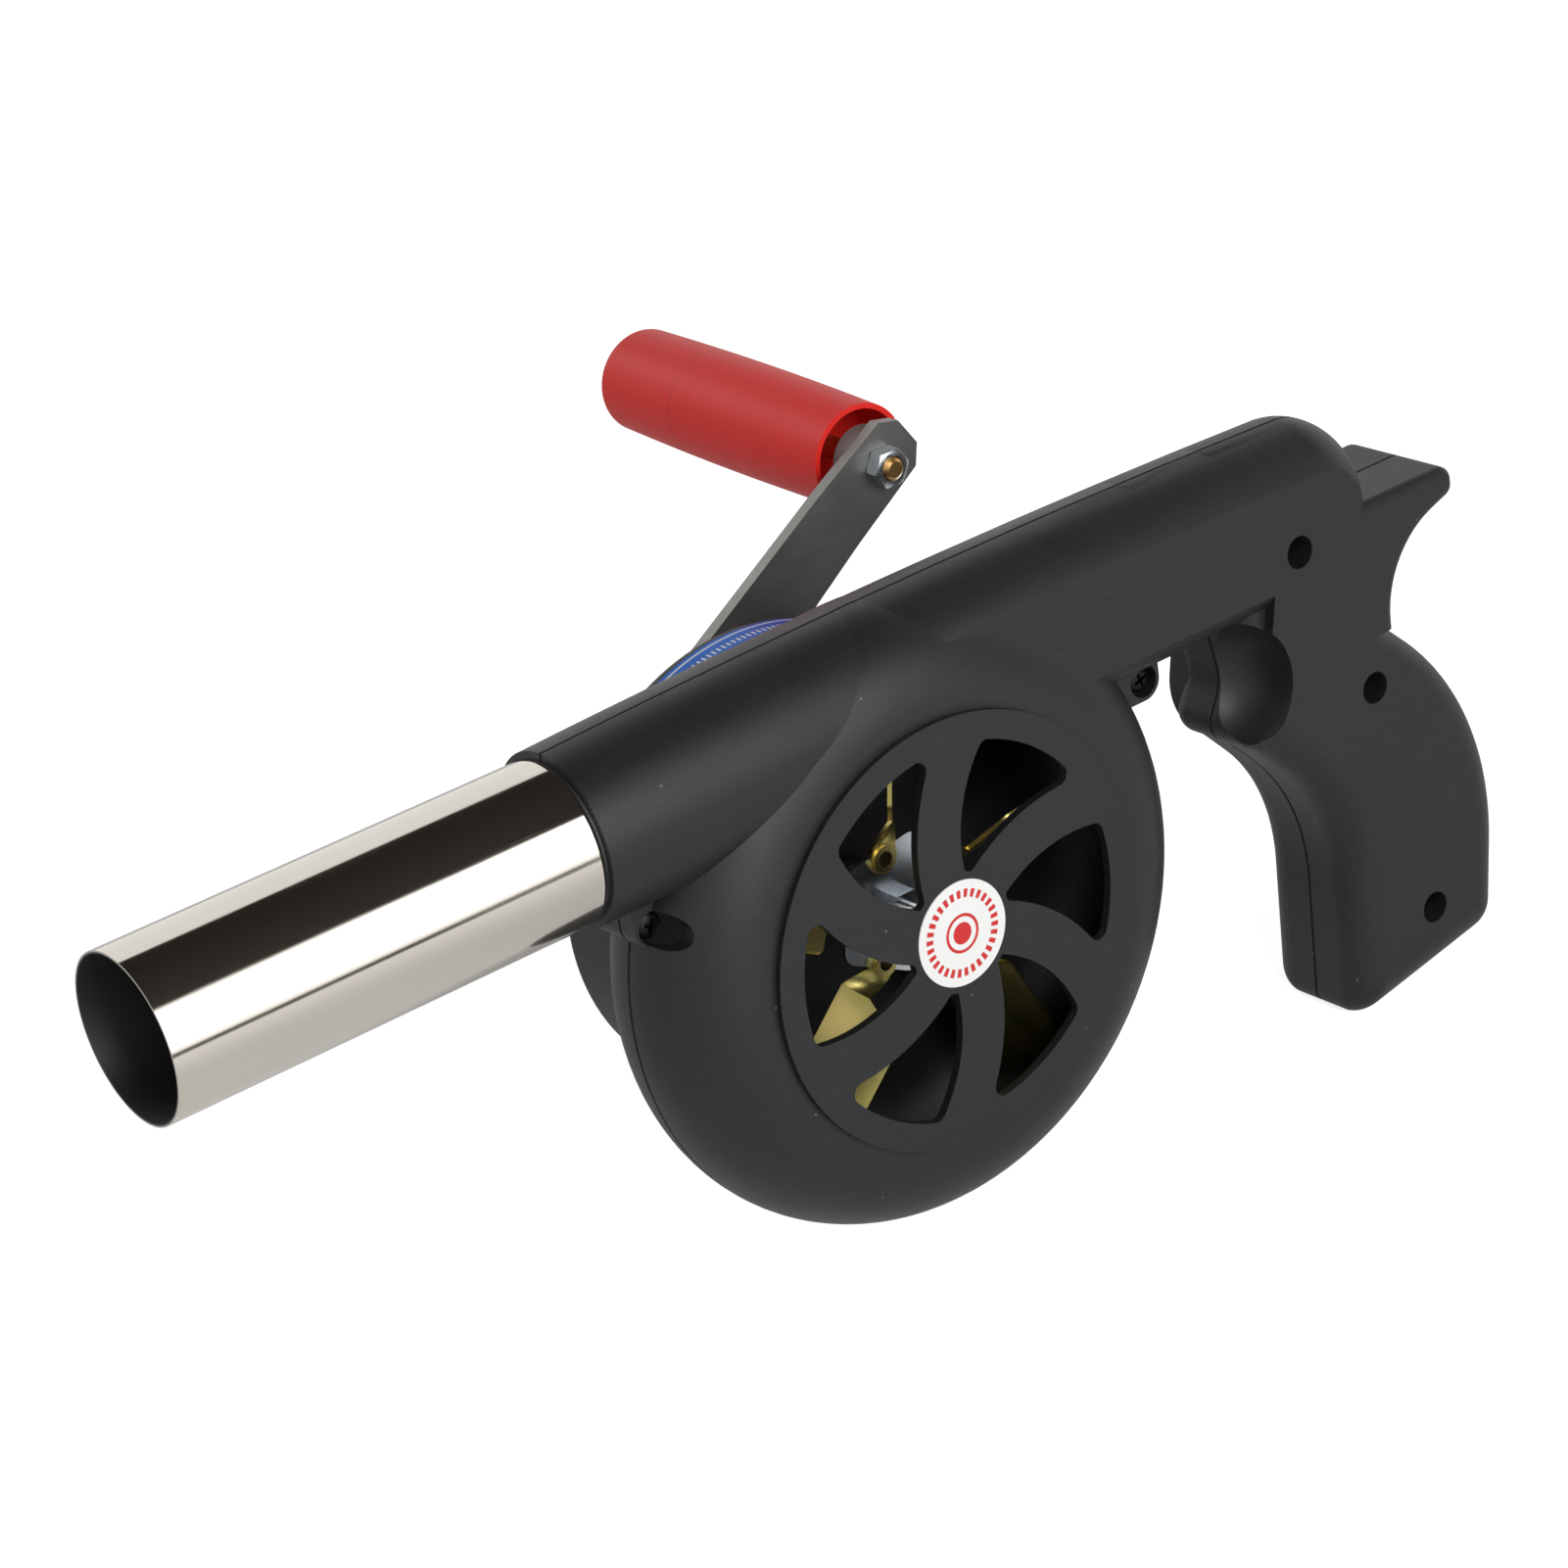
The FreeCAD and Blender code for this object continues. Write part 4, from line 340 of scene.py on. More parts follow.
def black_plastic(name, joint_plane):
    """Satin black with a dark line where two mouldings meet on a plane across y."""
    skin = new_finish(name, paint(32, 32, 34), roughness=0.44, patch=30, strength=0.10,
                      grain_size=0.35, unevenness=0.10, bump=0.035)
    tree = skin.tree
    off_plane = maths(tree, "ABSOLUTE", split_place(tree, skin.where, (0, joint_plane, 0))[1])
    line = spread(tree, off_plane, SEAM_CORE * MM, SEAM_EDGE * MM, 1.0, 0.0)
    rubbed = place_group(tree, scratches, Vector=skin.where, Length=(9 * MM, 1.1 * MM, 2.2 * MM),
                         Amount=0.2)["Mask"]
    scuffed = blend_colour(tree, rubbed, skin.base, paint(58, 58, 60))
    dust = place_group(tree, specks, Vector=skin.where)["Mask"]
    dusty = blend_colour(tree, dust, scuffed, paint(104, 104, 104))
    recolour(skin, line, paint(4, 4, 4), dusty)
    feed(tree, skin.shader.inputs["Roughness"], maths(tree, "MAXIMUM", skin.gloss, line))
    groove = maths(tree, "SUBTRACT", skin.height, maths(tree, "MULTIPLY", line, SEAM_DEPTH))
    feed(tree, skin.bumps.inputs["Height"], groove)
    skin.shader.inputs["Specular IOR Level"].default_value = 0.38
    return skin


wear(black_plastic("housing_plastic", 0.0), "front_shell", "rear_shell")
wear(black_plastic("cover_plastic", cover_edge), "gear_cover")

# %% [markdown]
# ### Metals
# The nozzle is polished stainless tube, mirror-like with faint drawing marks along it, and left dull
# inside. Inside and outside are one part, so the finish tells them apart by the distance to the
# tube's axis: what is nearer than the middle of the wall is inside.

# %% Polished tube
TUBE_WALL = 0.6
TURN_OVER = 0.1
INSIDE_DULLER = 0.4
tube = new_finish("polished_tube", paint(214, 208, 198), roughness=0.09, metallic=1.0, patch=60,
                  strength=0.03, grain_size=0.5, unevenness=0.04, bump=0.0)
drawn = place_group(tube.tree, scratches, Vector=tube.where, Length=(60 * MM, 0.5 * MM, 0.5 * MM),
                    Amount=0.10)["Mask"]
across, up = split_place(tube.tree, tube.where)[1:]
wall_middle = nozzle_top / MM - TUBE_WALL / 2
inside = spread(tube.tree, length_of(tube.tree, across, up), (wall_middle - TURN_OVER) * MM,
                (wall_middle + TURN_OVER) * MM, 1.0, 0.0)
polish = maths(tube.tree, "ADD", tube.gloss, drawn)
dulled = maths(tube.tree, "ADD", polish, maths(tube.tree, "MULTIPLY", inside, INSIDE_DULLER))
feed(tube.tree, tube.shader.inputs["Roughness"], dulled)
recolour(tube, inside, paint(106, 106, 106))
wear(tube, "nozzle_tube")

# %% [markdown]
# The arm is flat bar with a dull grey phosphate skin, rubbed brighter in places. The blades are zinc
# plated and passivated yellow, which drifts between gold and olive.

# %% Arm steel
arm = new_finish("arm_steel", paint(128, 128, 125), roughness=0.46, metallic=0.85, patch=9,
                 strength=0.16, grain_size=0.5, unevenness=0.2, bump=0.02)
rubbed = place_group(arm.tree, scratches, Vector=arm.where, Length=(14 * MM, 3 * MM, 1.2 * MM),
                     Amount=0.5)["Mask"]
recolour(arm, rubbed, paint(150, 149, 146))
wear(arm, "crank_arm")

# %% Yellow zinc on the blades
blade = new_finish("blade_zinc", paint(228, 208, 132), roughness=0.34, metallic=1.0, patch=14,
                   strength=0.12, grain_size=0.5, unevenness=0.15, bump=0.01)
drift = add_node(blade.tree, "ShaderNodeTexNoise")
drift.inputs["Scale"].default_value = 60
feed(blade.tree, drift.inputs["Vector"], blade.where)
olive = spread(blade.tree, drift.outputs["Fac"], 0.42, 0.62, 0.0, 0.75)
recolour(blade, olive, paint(168, 162, 92))
wear(blade, *[name for name in parts if name.startswith("impeller_blade")])

# %% [markdown]
# Most of the small metal parts differ only in colour and gloss, so one function makes their
# finishes. Grey zinc is bright and slightly blue, the ground shafts are a little darker and
# glossier, the screws are blackened, and the bearings are bronze. The spacer is turned steel that
# has gone dull: it is less metallic than the others, so its finish is made by itself.

# %% Plain metals
def plain_metal(name, colour, roughness):
    """A plated or ground metal."""
    return new_finish(name, colour, roughness, metallic=1.0, patch=6, strength=0.10,
                      grain_size=0.3, unevenness=0.15, bump=0.01)


grey_zinc = plain_metal("grey_zinc", paint(210, 216, 222), 0.26)
bolt_zinc = plain_metal("bolt_zinc", paint(196, 154, 96), 0.36)
blackened = plain_metal("blackened_screws", paint(42, 42, 44), 0.48)
turned_steel = new_finish("turned_spacer", paint(158, 156, 155), 0.55, metallic=0.3, patch=5)
ground_steel = plain_metal("ground_steel", paint(190, 190, 190), 0.22)
wear(grey_zinc, "impeller_hub_plate", "impeller_nut", "crank_washer", "crank_nut", "handle_nut")
wear(turned_steel, "handle_spacer")
wear(ground_steel, "idler_pin", "impeller_shaft", "impeller_collar", "crank_shaft")
wear(plain_metal("rivet_zinc", paint(214, 196, 128), 0.28), "impeller_eyelets")
wear(plain_metal("bearing_bronze", paint(176, 140, 88), 0.40), "impeller_bushes", "crank_bush")
wear(bolt_zinc, "handle_bolt")
wear(blackened, "grip_screws", "ear_screws", "cover_screws")

# %% [markdown]
# ### Coloured and natural plastics
# The handle is red with a soft sheen, and a fine line runs round it where its mould was joined. The
# handle leans with the arm's tip, so the line's place is measured along the handle's own axis.

# %% Red handle
MOULD_LINE = 63.0
MOULD_LINE_WIDTH = 0.25
MOULD_LINE_SHARE = 0.5
red = new_finish("red_plastic", paint(240, 44, 36), roughness=0.46, patch=25, strength=0.05,
                 grain_size=0.9, unevenness=0.08, bump=0.012)
red.shader.inputs["Specular IOR Level"].default_value = 0.3
along_handle = add_node(red.tree, "ShaderNodeVectorMath", operation="DOT_PRODUCT")
feed(red.tree, along_handle.inputs[0], red.where)
feed(red.tree, along_handle.inputs[1], handle_axis)
line_start = handle_axis.dot(handle_foot) / MM + MOULD_LINE
joint_line = between(red.tree, along_handle.outputs["Value"], line_start,
                     line_start + MOULD_LINE_WIDTH, edge=0.12)
recolour(red, maths(red.tree, "MULTIPLY", joint_line, MOULD_LINE_SHARE), paint(120, 16, 14))
wear(red, "handle_grip")

# %% [markdown]
# The gears are natural nylon, which is milky and slightly warm. A little light goes into it and
# comes out again nearby, which is what Subsurface gives.

# %% White gears
nylon = new_finish("natural_nylon", paint(226, 222, 208), roughness=0.40, patch=15, strength=0.04,
                   grain_size=0.5, unevenness=0.06, bump=0.015)
nylon.shader.inputs["Subsurface Weight"].default_value = 0.1
nylon.shader.inputs["Subsurface Radius"].default_value = (1 * MM, 0.8 * MM, 0.6 * MM)
wear(nylon, "impeller_pinion", "idler_gear", "crank_gear")

# %% [markdown]
# ### The round label
# A white paper label sits on the grille's hub. Its print is worked out from the distance to the
# fan's axis and the angle round it: a red disc, a thin ring and a circle of short dashes. The disc
# is drawn as a ring too, with an inner edge below zero.

# %% Print of the round label
DISC_RADIUS = 2.4
RING = (3.6, 4.3)
DASH_RING = (7.7, 9.5)
DASH_COUNT = 30
PRINT_EDGE = 0.08


def dashes_round(tree, angle, count, share):
    """1 on a share of each of the equal steps round a circle."""
    step = maths(tree, "FRACT", maths(tree, "MULTIPLY", angle, count / math.tau))
    return maths(tree, "LESS_THAN", step, share)


round_label = new_finish("round_label", paint(238, 238, 236), roughness=0.38, patch=8,
                         strength=0.02, grain_size=0.3, unevenness=0.04, bump=0.004)
tree = round_label.tree
across, _, up = split_place(tree, round_label.where, fan_axis)
radius = length_of(tree, across, up)
angle = maths(tree, "ARCTAN2", up, across)
disc = between(tree, radius, -1, DISC_RADIUS, PRINT_EDGE)
rings = maths(tree, "MAXIMUM", disc, between(tree, radius, *RING, PRINT_EDGE))
dashes = maths(tree, "MULTIPLY", between(tree, radius, *DASH_RING, PRINT_EDGE),
               dashes_round(tree, angle, DASH_COUNT, share=0.55))
recolour(round_label, maths(tree, "MAXIMUM", dashes, rings), paint(205, 38, 36))
wear(round_label, "grille_label")

# %% [markdown]
# ### The band on the gear cover
# A blue film label wraps part of the gear cover's rim. It is printed with plain rows of white marks
# and one thin line, which run round the cover, and its blue turns to violet towards the grip. Each
# row has more and finer marks than the one before.

# %% Print of the band
ROW_STARTS = (2.2, 6.4, 10.6, 14.8)
ROW_HEIGHT = 1.7
FIRST_ROW_MARKS = 130
MORE_EACH_ROW = 36
MARK_SHARE = 0.42
EDGE_LINE = (18.6, 19.2)
band = new_finish("band_label", paint(34, 116, 224), roughness=0.40, patch=8, strength=0.04,
                  grain_size=0.3, unevenness=0.04, bump=0.004)
band.shader.inputs["Specular IOR Level"].default_value = 0.2
tree = band.tree
across, depth, up = split_place(tree, band.where, (fan_axis.x, band_edge, fan_axis.z))
angle = maths(tree, "ARCTAN2", up, across)
violet = spread(tree, across, -2 * MM, 20 * MM)
ground = blend_colour(tree, violet, band.base, paint(92, 70, 190))
printed = between(tree, depth, *EDGE_LINE, edge=0.1)
for i, start in enumerate(ROW_STARTS):
    row = between(tree, depth, start, start + ROW_HEIGHT, edge=0.12)
    marks = dashes_round(tree, angle, FIRST_ROW_MARKS + MORE_EACH_ROW * i, MARK_SHARE)
    printed = maths(tree, "MAXIMUM", printed, maths(tree, "MULTIPLY", row, marks))
recolour(band, printed, paint(246, 248, 252), ground)
wear(band, "cover_label")

# %% [markdown]
# ## Fasteners
# Nuts, screws and the handle's bolt are what the eye checks first, and the solid model keeps them
# plain. Each is made again here, with its chamfers, thread and cross recess, and stands for the
# plain one. A turned part could be spun from a drawn profile. Here it starts as a flat disc, which
# is extruded and scaled step by step, because that leaves no seam to close. What isn't round is
# then cut with a Boolean modifier.

# %% Tools for turned parts
def work_on(piece):
    """Makes one object the only selected and active one."""
    bpy.ops.object.select_all(action="DESELECT")
    piece.select_set(True)
    bpy.context.view_layer.objects.active = piece


def turned(name, sections, sides):
    """A solid of (radius, height) sections, extruded upwards from a disc; sizes in millimetres."""
    bpy.ops.object.select_all(action="DESELECT")
    radius, height = sections[0]
    bpy.ops.mesh.primitive_circle_add(vertices=sides, radius=radius * MM, fill_type="NGON",
                                      location=(0, 0, height * MM))
    piece = bpy.context.object
    piece.name = piece.data.name = name
    bpy.ops.object.mode_set(mode="EDIT")
    for next_radius, next_height in sections[1:]:
        step = (0, 0, (next_height - height) * MM)
        bpy.ops.mesh.extrude_region_move(TRANSFORM_OT_translate={"value": step})
        bpy.ops.transform.resize(value=(next_radius / radius, next_radius / radius, 1))
        radius, height = next_radius, next_height
    bpy.ops.mesh.select_all(action="SELECT")
    bpy.ops.mesh.normals_make_consistent(inside=False)
    bpy.ops.object.mode_set(mode="OBJECT")
    bpy.ops.object.transform_apply(location=True, rotation=True, scale=True)
    return piece


def carve(piece, tool, operation="DIFFERENCE"):
    """Cuts a closed shape with another, or keeps what both share, and deletes the tool."""
    work_on(piece)
    cutter = piece.modifiers.new("carve", "BOOLEAN")
    cutter.operation = operation
    cutter.solver = "EXACT"
    cutter.object = tool
    bpy.ops.object.modifier_apply(modifier=cutter.name)
    bpy.data.objects.remove(tool)

# %% [markdown]
# A finished piece's object sits at the origin, unturned, with its place in its mesh, as the solid
# parts do. So a piece is modelled standing on the origin, laid in its place, and its place is then
# applied. Edges sharper than 28 degrees stay sharp.

# %% Laying a piece in its place
SHARP_EDGE = math.radians(28)


def seat(piece, place, axis, across, body, finish, stands_for):
    """Lays a piece's own Z along an axis and its Y towards a direction, and gives it its finish."""
    axis = axis.normalized()
    across = (across - across.dot(axis) * axis).normalized()
    turn = Matrix((across.cross(axis), across, axis)).transposed().to_4x4()
    piece.matrix_world = Matrix.Translation(place) @ turn
    work_on(piece)
    bpy.ops.object.transform_apply(location=True, rotation=True, scale=True)
    bpy.ops.object.shade_smooth_by_angle(angle=SHARP_EDGE)
    piece.data.materials.clear()
    piece.data.materials.append(finish.material)
    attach(piece, body)
    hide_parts(stands_for)
    print(piece.name, "has", len(piece.data.polygons), "faces")

# %% [markdown]
# A hexagon nut is a turned disc with chamfered rims, cut down to six sides, so that each corner
# ends in the curved edge that real nuts have. Its bore is chamfered too. Two shapes that only just
# touch are hard to cut cleanly, so the disc stands a little proud of the six corners, and its rims
# stay a little inside the six flats.

# %% Nuts
NUT_CHAMFER = 0.4
BORE_CHAMFER = 0.35
CORNER_SPARE = 0.06
RIM_SHARE = 0.97
CLEAR = 1


def hexagon_nut(name, flats, height, bore):
    """A nut that stands on z = 0, with a corner along Y; sizes in millimetres."""
    corner = flats / math.sqrt(3)
    rim = RIM_SHARE * flats / 2
    body = corner + CORNER_SPARE
    nut = turned(name, [(rim, 0), (body, NUT_CHAMFER), (body, height - NUT_CHAMFER), (rim, height)],
                 sides=96)
    hexagon = turned("hexagon", [(corner, -CLEAR), (corner, height + CLEAR)], sides=6)
    carve(nut, hexagon, "INTERSECT")
    wide = bore + BORE_CHAMFER
    drill = [(wide + CLEAR, -CLEAR), (wide, 0), (bore, BORE_CHAMFER), (bore, height - BORE_CHAMFER),
             (wide, height), (wide + CLEAR, height + CLEAR)]
    carve(nut, turned("bore", drill, sides=48))
    return nut

# %% Handle nut and crank nut
X_WAY = Vector((1, 0, 0))
Y_WAY = Vector((0, 1, 0))
arm_way = handle_foot - crank_axis
arm_way = (arm_way - arm_way.dot(handle_axis) * handle_axis).normalized()
nut_corner = Matrix.Rotation(math.radians(30), 3, handle_axis) @ arm_way
seat(hexagon_nut("handle_nut_chamfered", flats=8, height=4, bore=2.5), handle_foot, -handle_axis,
     nut_corner, "crank", grey_zinc, "handle_nut")
seat(hexagon_nut("crank_nut_chamfered", flats=10, height=5, bore=3),
     Vector((crank_axis.x, crank_nut_foot, crank_axis.z)), Y_WAY, X_WAY, "crank", grey_zinc,
     "crank_nut")

# %% [markdown]
# The handle turns on a long bolt. A bump could hint at its thread, but the tip shows from close by,
# so the thread is a true helix: the end of the shank has many fine rings, and each point is moved
# in by a depth that depends on its height and on its angle together.

# %% Handle bolt
BOLT_RADIUS = 2.5
BOLT_TIP = -5.0
TIP_RADIUS = 1.8
TIP_CHAMFER = 0.6
BOLT_SEAT = 85.0
HEAD_HEIGHT = 3.0
THREAD_LENGTH = 7.0
THREAD_PITCH = 0.8
THREAD_DEPTH = 0.42
RING_STEP = 0.1
ring_count = round(THREAD_LENGTH / RING_STEP)
shank_rings = [(BOLT_RADIUS, BOLT_TIP + TIP_CHAMFER + RING_STEP * i) for i in range(ring_count)]
head_rings = [(4.5, BOLT_SEAT), (4.5, BOLT_SEAT + 1.4), (4.2, BOLT_SEAT + 2.1),
              (3.4, BOLT_SEAT + 2.7), (2.2, BOLT_SEAT + HEAD_HEIGHT)]
bolt = turned("handle_bolt_threaded",
              [(TIP_RADIUS, BOLT_TIP)] + shank_rings + [(BOLT_RADIUS, BOLT_SEAT)] + head_rings,
              sides=48)
on_shank = (TIP_RADIUS + BOLT_RADIUS) / 2 * MM
for vertex in bolt.data.vertices:
    height = vertex.co.z / MM
    if height < BOLT_TIP + THREAD_LENGTH and vertex.co.xy.length > on_shank:
        turn_share = math.atan2(vertex.co.y, vertex.co.x) / math.tau
        phase = (height / THREAD_PITCH - turn_share) % 1
        shrink = 1 - THREAD_DEPTH * abs(2 * phase - 1) / BOLT_RADIUS
        vertex.co.x *= shrink
        vertex.co.y *= shrink
print("thread of", THREAD_LENGTH, "mm on a bolt of", 2 * BOLT_RADIUS, "mm")

# %% [markdown]
# The recess in a head is a cross: two short blocks that narrow downwards, turned a quarter from
# each other, are cut out of it one after the other. One block in the shape of a cross would do it
# in one cut, but two plain blocks are simpler to make and to change.

# %% Cross recess
RECESS_TAPER = 0.45
RECESS_CLEAR = 0.5


def cross_recess(piece, top, length, width, depth):
    """Cuts a cross into a head whose middle is at height top; sizes in millimetres."""
    for size_x, size_y in ((length, width), (width, length)):
        bpy.ops.object.select_all(action="DESELECT")
        bpy.ops.mesh.primitive_cube_add(size=1)
        block = bpy.context.object
        for vertex in block.data.vertices:
            low = vertex.co.z < 0
            taper = RECESS_TAPER if low else 1.0
            vertex.co.x *= taper * size_x * MM
            vertex.co.y *= taper * size_y * MM
            vertex.co.z = (top - depth if low else top + RECESS_CLEAR) * MM
        carve(piece, block)


cross_recess(bolt, BOLT_SEAT + HEAD_HEIGHT, length=4.4, width=1.1, depth=2.0)
seat(bolt, handle_foot, handle_axis, arm_way, "crank", bolt_zinc, "handle_bolt")

# %% [markdown]
# The housing's screws sit deep in their holes, and the gear cover's sit flush. Their places are read
# from the plain screws: the points on each head's face are sorted into groups, one for each screw.
# One screw of each kind is modelled, and the others are copies with meshes of their own. Screws
# stop where they are tight, so each cross has another angle.

# %% Places of the screws
FACE_SLACK = 0.02
HEAD_REACH = 8


def head_places(node, facing):
    """The middle of each head's face in a group of screws that face along Y, one way or the other."""
    points = [vertex.co for vertex in parts[node].data.vertices]
    face = max(facing * point.y for point in points)
    groups = []
    for point in points:
        if facing * point.y > face - FACE_SLACK * MM:
            near = [group for group in groups if (group[0] - point).length < HEAD_REACH * MM]
            if near:
                near[0].append(point)
            else:
                groups.append([point])
    return [(Vector(map(min, zip(*group))) + Vector(map(max, zip(*group)))) / 2 for group in groups]

# %% Screws
FIRST_ANGLE = 25
NEXT_ANGLE = 47
POINT_LENGTH = 1.5


def pan_screws(name, node, facing, head, head_height, shank, length):
    """Screws with domed heads and a cross recess, one for each in the group; sizes in millimetres."""
    profile = [(0.3 * shank, -head_height - length), (shank, -head_height - length + POINT_LENGTH),
               (shank, -head_height), (head, -head_height), (head, -0.6 * head_height),
               (0.92 * head, -0.3 * head_height), (0.74 * head, -0.1 * head_height), (0.5 * head, 0)]
    first = turned(name + "_1", profile, sides=40)
    cross_recess(first, 0, length=1.25 * head, width=0.3 * head, depth=0.75 * head_height)
    screws = [first]
    places = head_places(node, facing)
    for i in range(1, len(places)):
        twin = first.copy()
        twin.data = first.data.copy()
        twin.name = twin.data.name = "%s_%d" % (name, i + 1)
        bpy.context.scene.collection.objects.link(twin)
        screws.append(twin)
    for i, (screw, place) in enumerate(zip(screws, places)):
        cross_way = Matrix.Rotation(math.radians(FIRST_ANGLE + NEXT_ANGLE * i), 3, "Y") @ X_WAY
        seat(screw, place, facing * Y_WAY, cross_way, "housing", blackened, node)


pan_screws("grip_screw", "grip_screws", -1, head=3, head_height=2.2, shank=1.5, length=16)
pan_screws("ear_screw", "ear_screws", -1, head=3, head_height=2.2, shank=1.5, length=11.5)
pan_screws("cover_screw", "cover_screws", 1, head=2.7, head_height=1.7, shank=1.2, length=12)

# %% [markdown]
# ## The studio
# The blower stands on a plain white floor. The floor shows a soft shadow and otherwise stays white:
# it gives off light of its own, but only to what the camera and reflections see directly. More
# lamps would whiten it too, but they would also bleach the blower.

# %% Floor
FLOOR_GLOW = 0.8
FLOOR_MIRRORED = 0.15
FLOOR_GAP = 0.5


def seen_directly(tree, straight, mirrored):
    """One strength for rays from the camera, one for reflected and transmitted rays, else 0."""
    rays = tree.nodes.new("ShaderNodeLightPath").outputs
    bounced = maths(tree, "MAXIMUM", rays["Is Glossy Ray"], rays["Is Transmission Ray"])
    return maths(tree, "MAXIMUM", maths(tree, "MULTIPLY", rays["Is Camera Ray"], straight),
                 maths(tree, "MULTIPLY", bounced, mirrored))


def matt_paint(name, colour):
    """A plain matt surface for the studio's own things."""
    material = bpy.data.materials.new(name)
    material.use_nodes = True
    shader = material.node_tree.nodes["Principled BSDF"]
    shader.inputs["Base Color"].default_value = colour
    shader.inputs["Roughness"].default_value = 0.9
    shader.inputs["Specular IOR Level"].default_value = 0.1
    return material, shader


solid_low, solid_high = (Vector(corner) for corner in solid_box)
middle = (solid_low + solid_high) / 2
floor_height = solid_low.z - FLOOR_GAP * MM
bpy.ops.object.select_all(action="DESELECT")
bpy.ops.mesh.primitive_plane_add(size=8, location=(middle.x, 0, floor_height))
floor = bpy.context.object
floor.name = "floor"
floor_white, shader = matt_paint("floor_white", (0.9, 0.9, 0.9, 1))
shader.inputs["Emission Color"].default_value = (1, 1, 1, 1)
glow = seen_directly(floor_white.node_tree, FLOOR_GLOW, FLOOR_MIRRORED)
feed(floor_white.node_tree, shader.inputs["Emission Strength"], glow)
floor.data.materials.append(floor_white)
print("floor at", round(floor.location.z, 4))

# %% [markdown]
# The world is white where it is seen, straight or in a reflection, and much weaker as a light. A
# picture of a real room could stand there, but plain white keeps the reflections calm.

# %% World
SKY_LIGHT = 0.32
world = bpy.data.worlds.new("studio")
bpy.context.scene.world = world
world.use_nodes = True
tree = world.node_tree
sky = tree.nodes["Background"]
sky.inputs["Color"].default_value = (1, 1, 1, 1)
feed(tree, sky.inputs["Strength"], maths(tree, "MAXIMUM", seen_directly(tree, 1.0, 1.0), SKY_LIGHT))
print("world", world.name, "lights with", SKY_LIGHT)

# %% [markdown]
# Polished metal shows the room round it, so a photographer hangs dark flags where a dark streak
# belongs. One hangs overhead, one stands at the right, beside the key light, so that the gloss fades
# from the nozzle to the grip, and a strip lies on the floor in front. The camera and the shadows
# don't see them: reflections do. The one overhead also keeps some of the world's light away.

# %% Flags
flag_black = matt_paint("flag_black", paint(58, 54, 50))[0]


def flag(name, low, high, dims_the_world):
    """A flat dark panel with two opposite corners; it lies or stands, as they say."""
    low, high = Vector(low), Vector(high)
    stands = high.z > low.z
    bpy.ops.object.select_all(action="DESELECT")
    bpy.ops.mesh.primitive_plane_add(size=1, location=(low + high) / 2,
                                     rotation=(math.radians(90) if stands else 0, 0, 0))
    panel = bpy.context.object
    panel.name = name
    panel.scale = (high.x - low.x, high.z - low.z if stands else high.y - low.y, 1)
    bpy.ops.object.transform_apply(location=True, rotation=True, scale=True)
    panel.data.materials.append(flag_black)
    panel.visible_camera = False
    panel.visible_shadow = False
    panel.visible_diffuse = dims_the_world
    print(name, "hung at", [round(value, 2) for value in (low + high) / 2])


strip_height = floor_height + 1 * MM
flag("overhead_flag", (middle.x - 1.1, -0.87, 0.9), (middle.x + 1.1, 0.63, 0.9), True)
flag("floor_strip", (middle.x - 0.9, -0.60, strip_height), (middle.x + 1.1, -0.42, strip_height), False)
flag("right_flag", (middle.x + 0.66, -1.15, floor_height), (middle.x + 2.2, -1.15, 1.2), False)

# %% [markdown]
# Soft light comes from large area lamps: a key light in front, which draws the broad bright streak
# on the tube, a smaller one above it, and a weak one from behind. Small lamps would light as well,
# but their shadows and highlights would have hard edges.

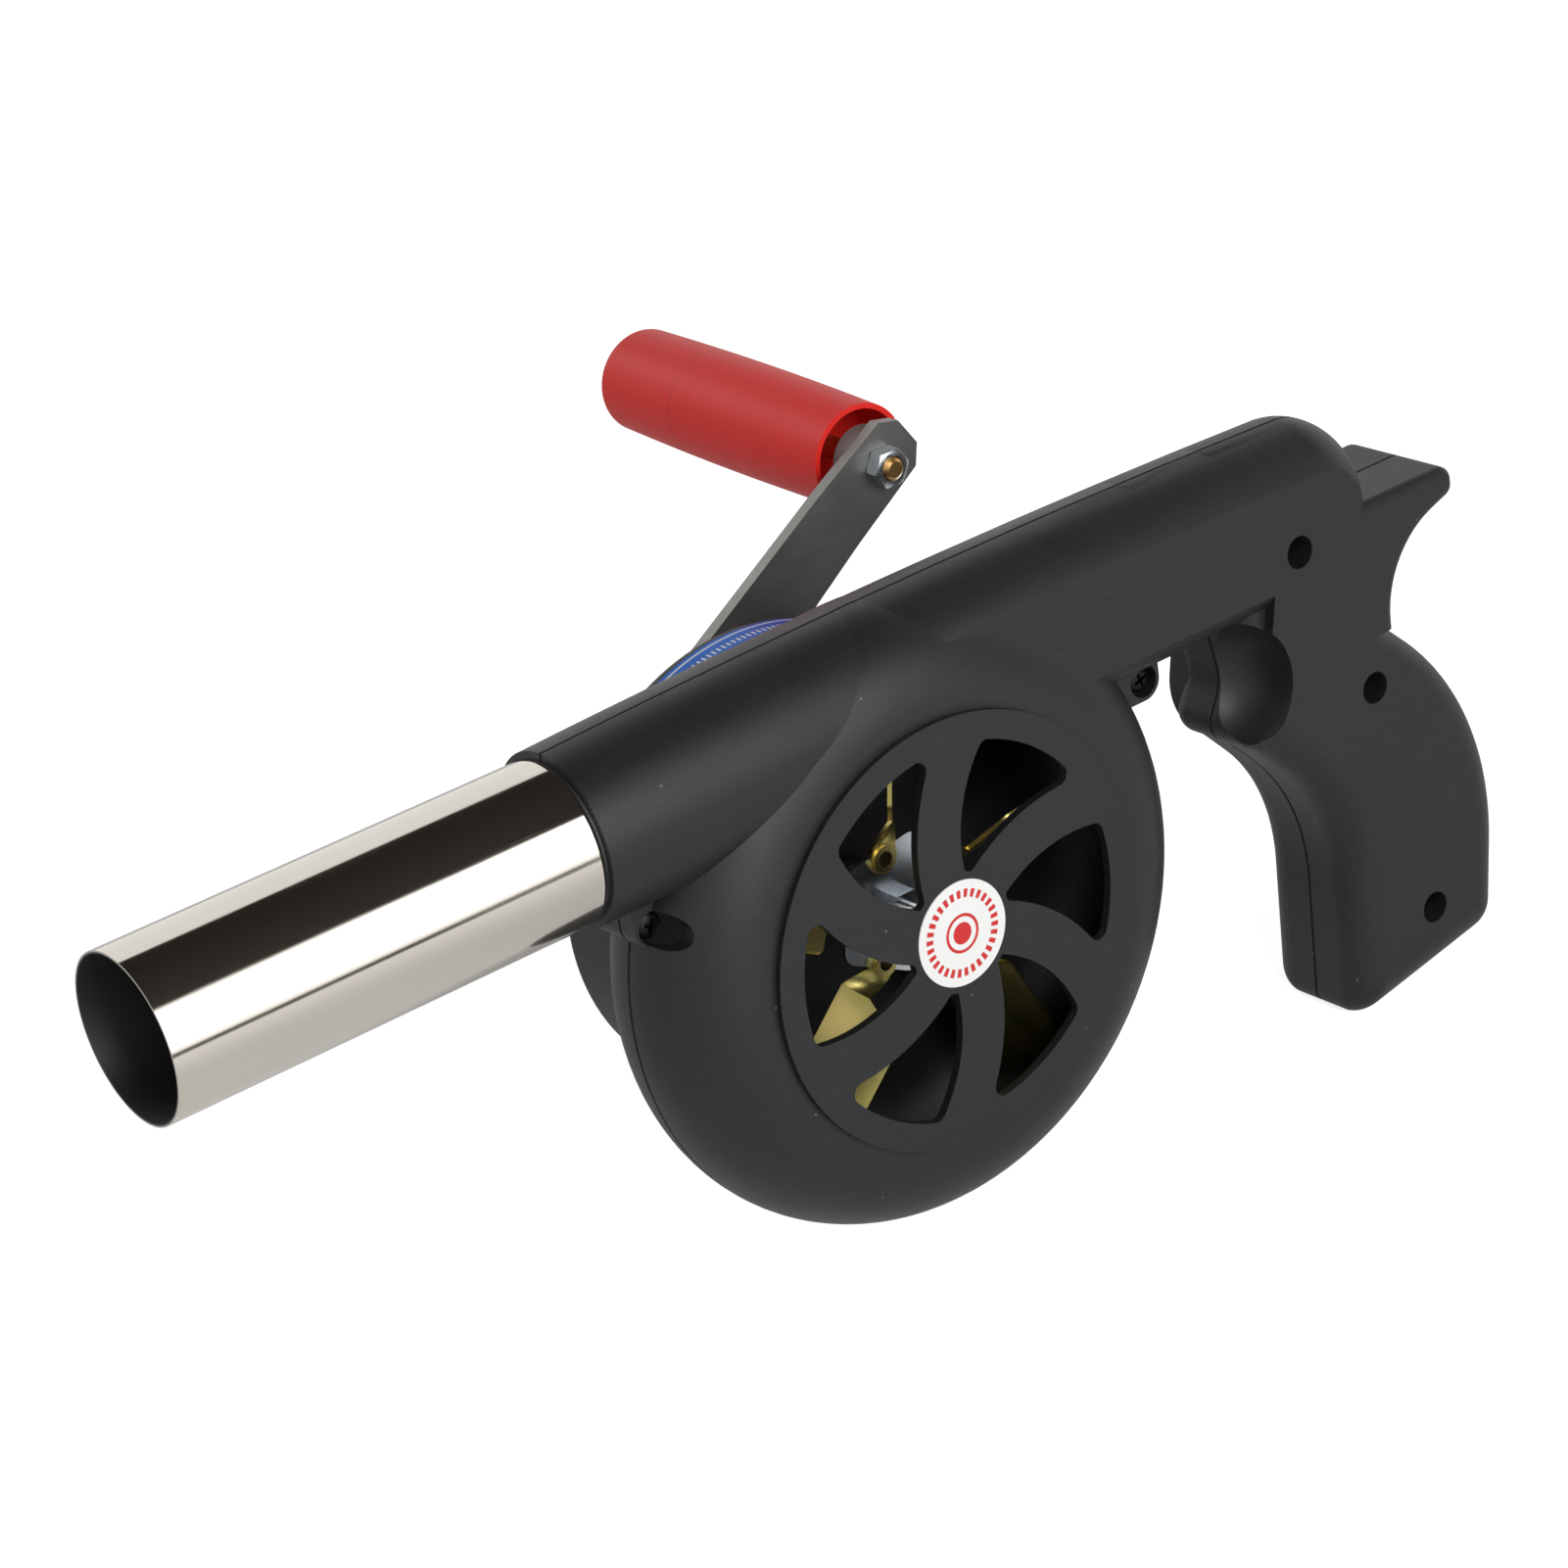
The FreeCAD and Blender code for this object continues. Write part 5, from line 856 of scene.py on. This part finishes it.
# %% Lamps
def area_lamp(name, place, width, height, power):
    """A rectangular lamp that looks at the blower's middle; its place is measured from there."""
    lamp = bpy.data.lights.new(name, "AREA")
    lamp.shape = "RECTANGLE"
    lamp.size, lamp.size_y = width, height
    lamp.energy = power
    holder = bpy.data.objects.new(name, lamp)
    bpy.context.scene.collection.objects.link(holder)
    holder.location = middle + Vector(place)
    holder.rotation_euler = (-Vector(place)).to_track_quat("-Z", "Y").to_euler()
    print(name, "gives", power, "W")


area_lamp("key_lamp", (0.14, -1.05, 0.32), width=1.0, height=1.0, power=7)
area_lamp("front_lamp", (-0.12, -0.75, 0.5), width=0.4, height=0.4, power=2)
area_lamp("back_lamp", (-0.5, 1.0, 0.8), width=0.9, height=0.6, power=3)

# %% [markdown]
# ## The camera
# The camera looks from the left front, 24 degrees above the horizon, and is rolled a little so that
# the nozzle points down to the left. Its place was worked out with the blower's own circles: the
# nozzle's mouth, the grille and the gear cover each fix part of it.

# %% Camera
AZIMUTH = math.radians(-34.55)
HEIGHT = math.radians(24.27)
ROLL = math.radians(-9.2)
DISTANCE = 856.95 * MM
LENS = 98.11
SENSOR = 36
AIM = fan_axis + Vector((-22.87, 0, 37.11)) * MM
back = Vector((math.sin(AZIMUTH) * math.cos(HEIGHT), -math.cos(AZIMUTH) * math.cos(HEIGHT),
               math.sin(HEIGHT)))
level = Vector((math.cos(AZIMUTH), math.sin(AZIMUTH), 0))
upright = back.cross(level)
right = math.cos(ROLL) * level + math.sin(ROLL) * upright
top = math.cos(ROLL) * upright - math.sin(ROLL) * level
lens = bpy.data.cameras.new("camera")
lens.lens = LENS
lens.sensor_width = SENSOR
camera = bpy.data.objects.new("camera", lens)
bpy.context.scene.collection.objects.link(camera)
turn = Matrix((right, top, back)).transposed().to_4x4()
camera.matrix_world = Matrix.Translation(AIM + back * DISTANCE) @ turn
bpy.context.scene.camera = camera
bpy.context.scene.view_settings.view_transform = "Standard"
print("camera at", [round(value, 4) for value in camera.location])
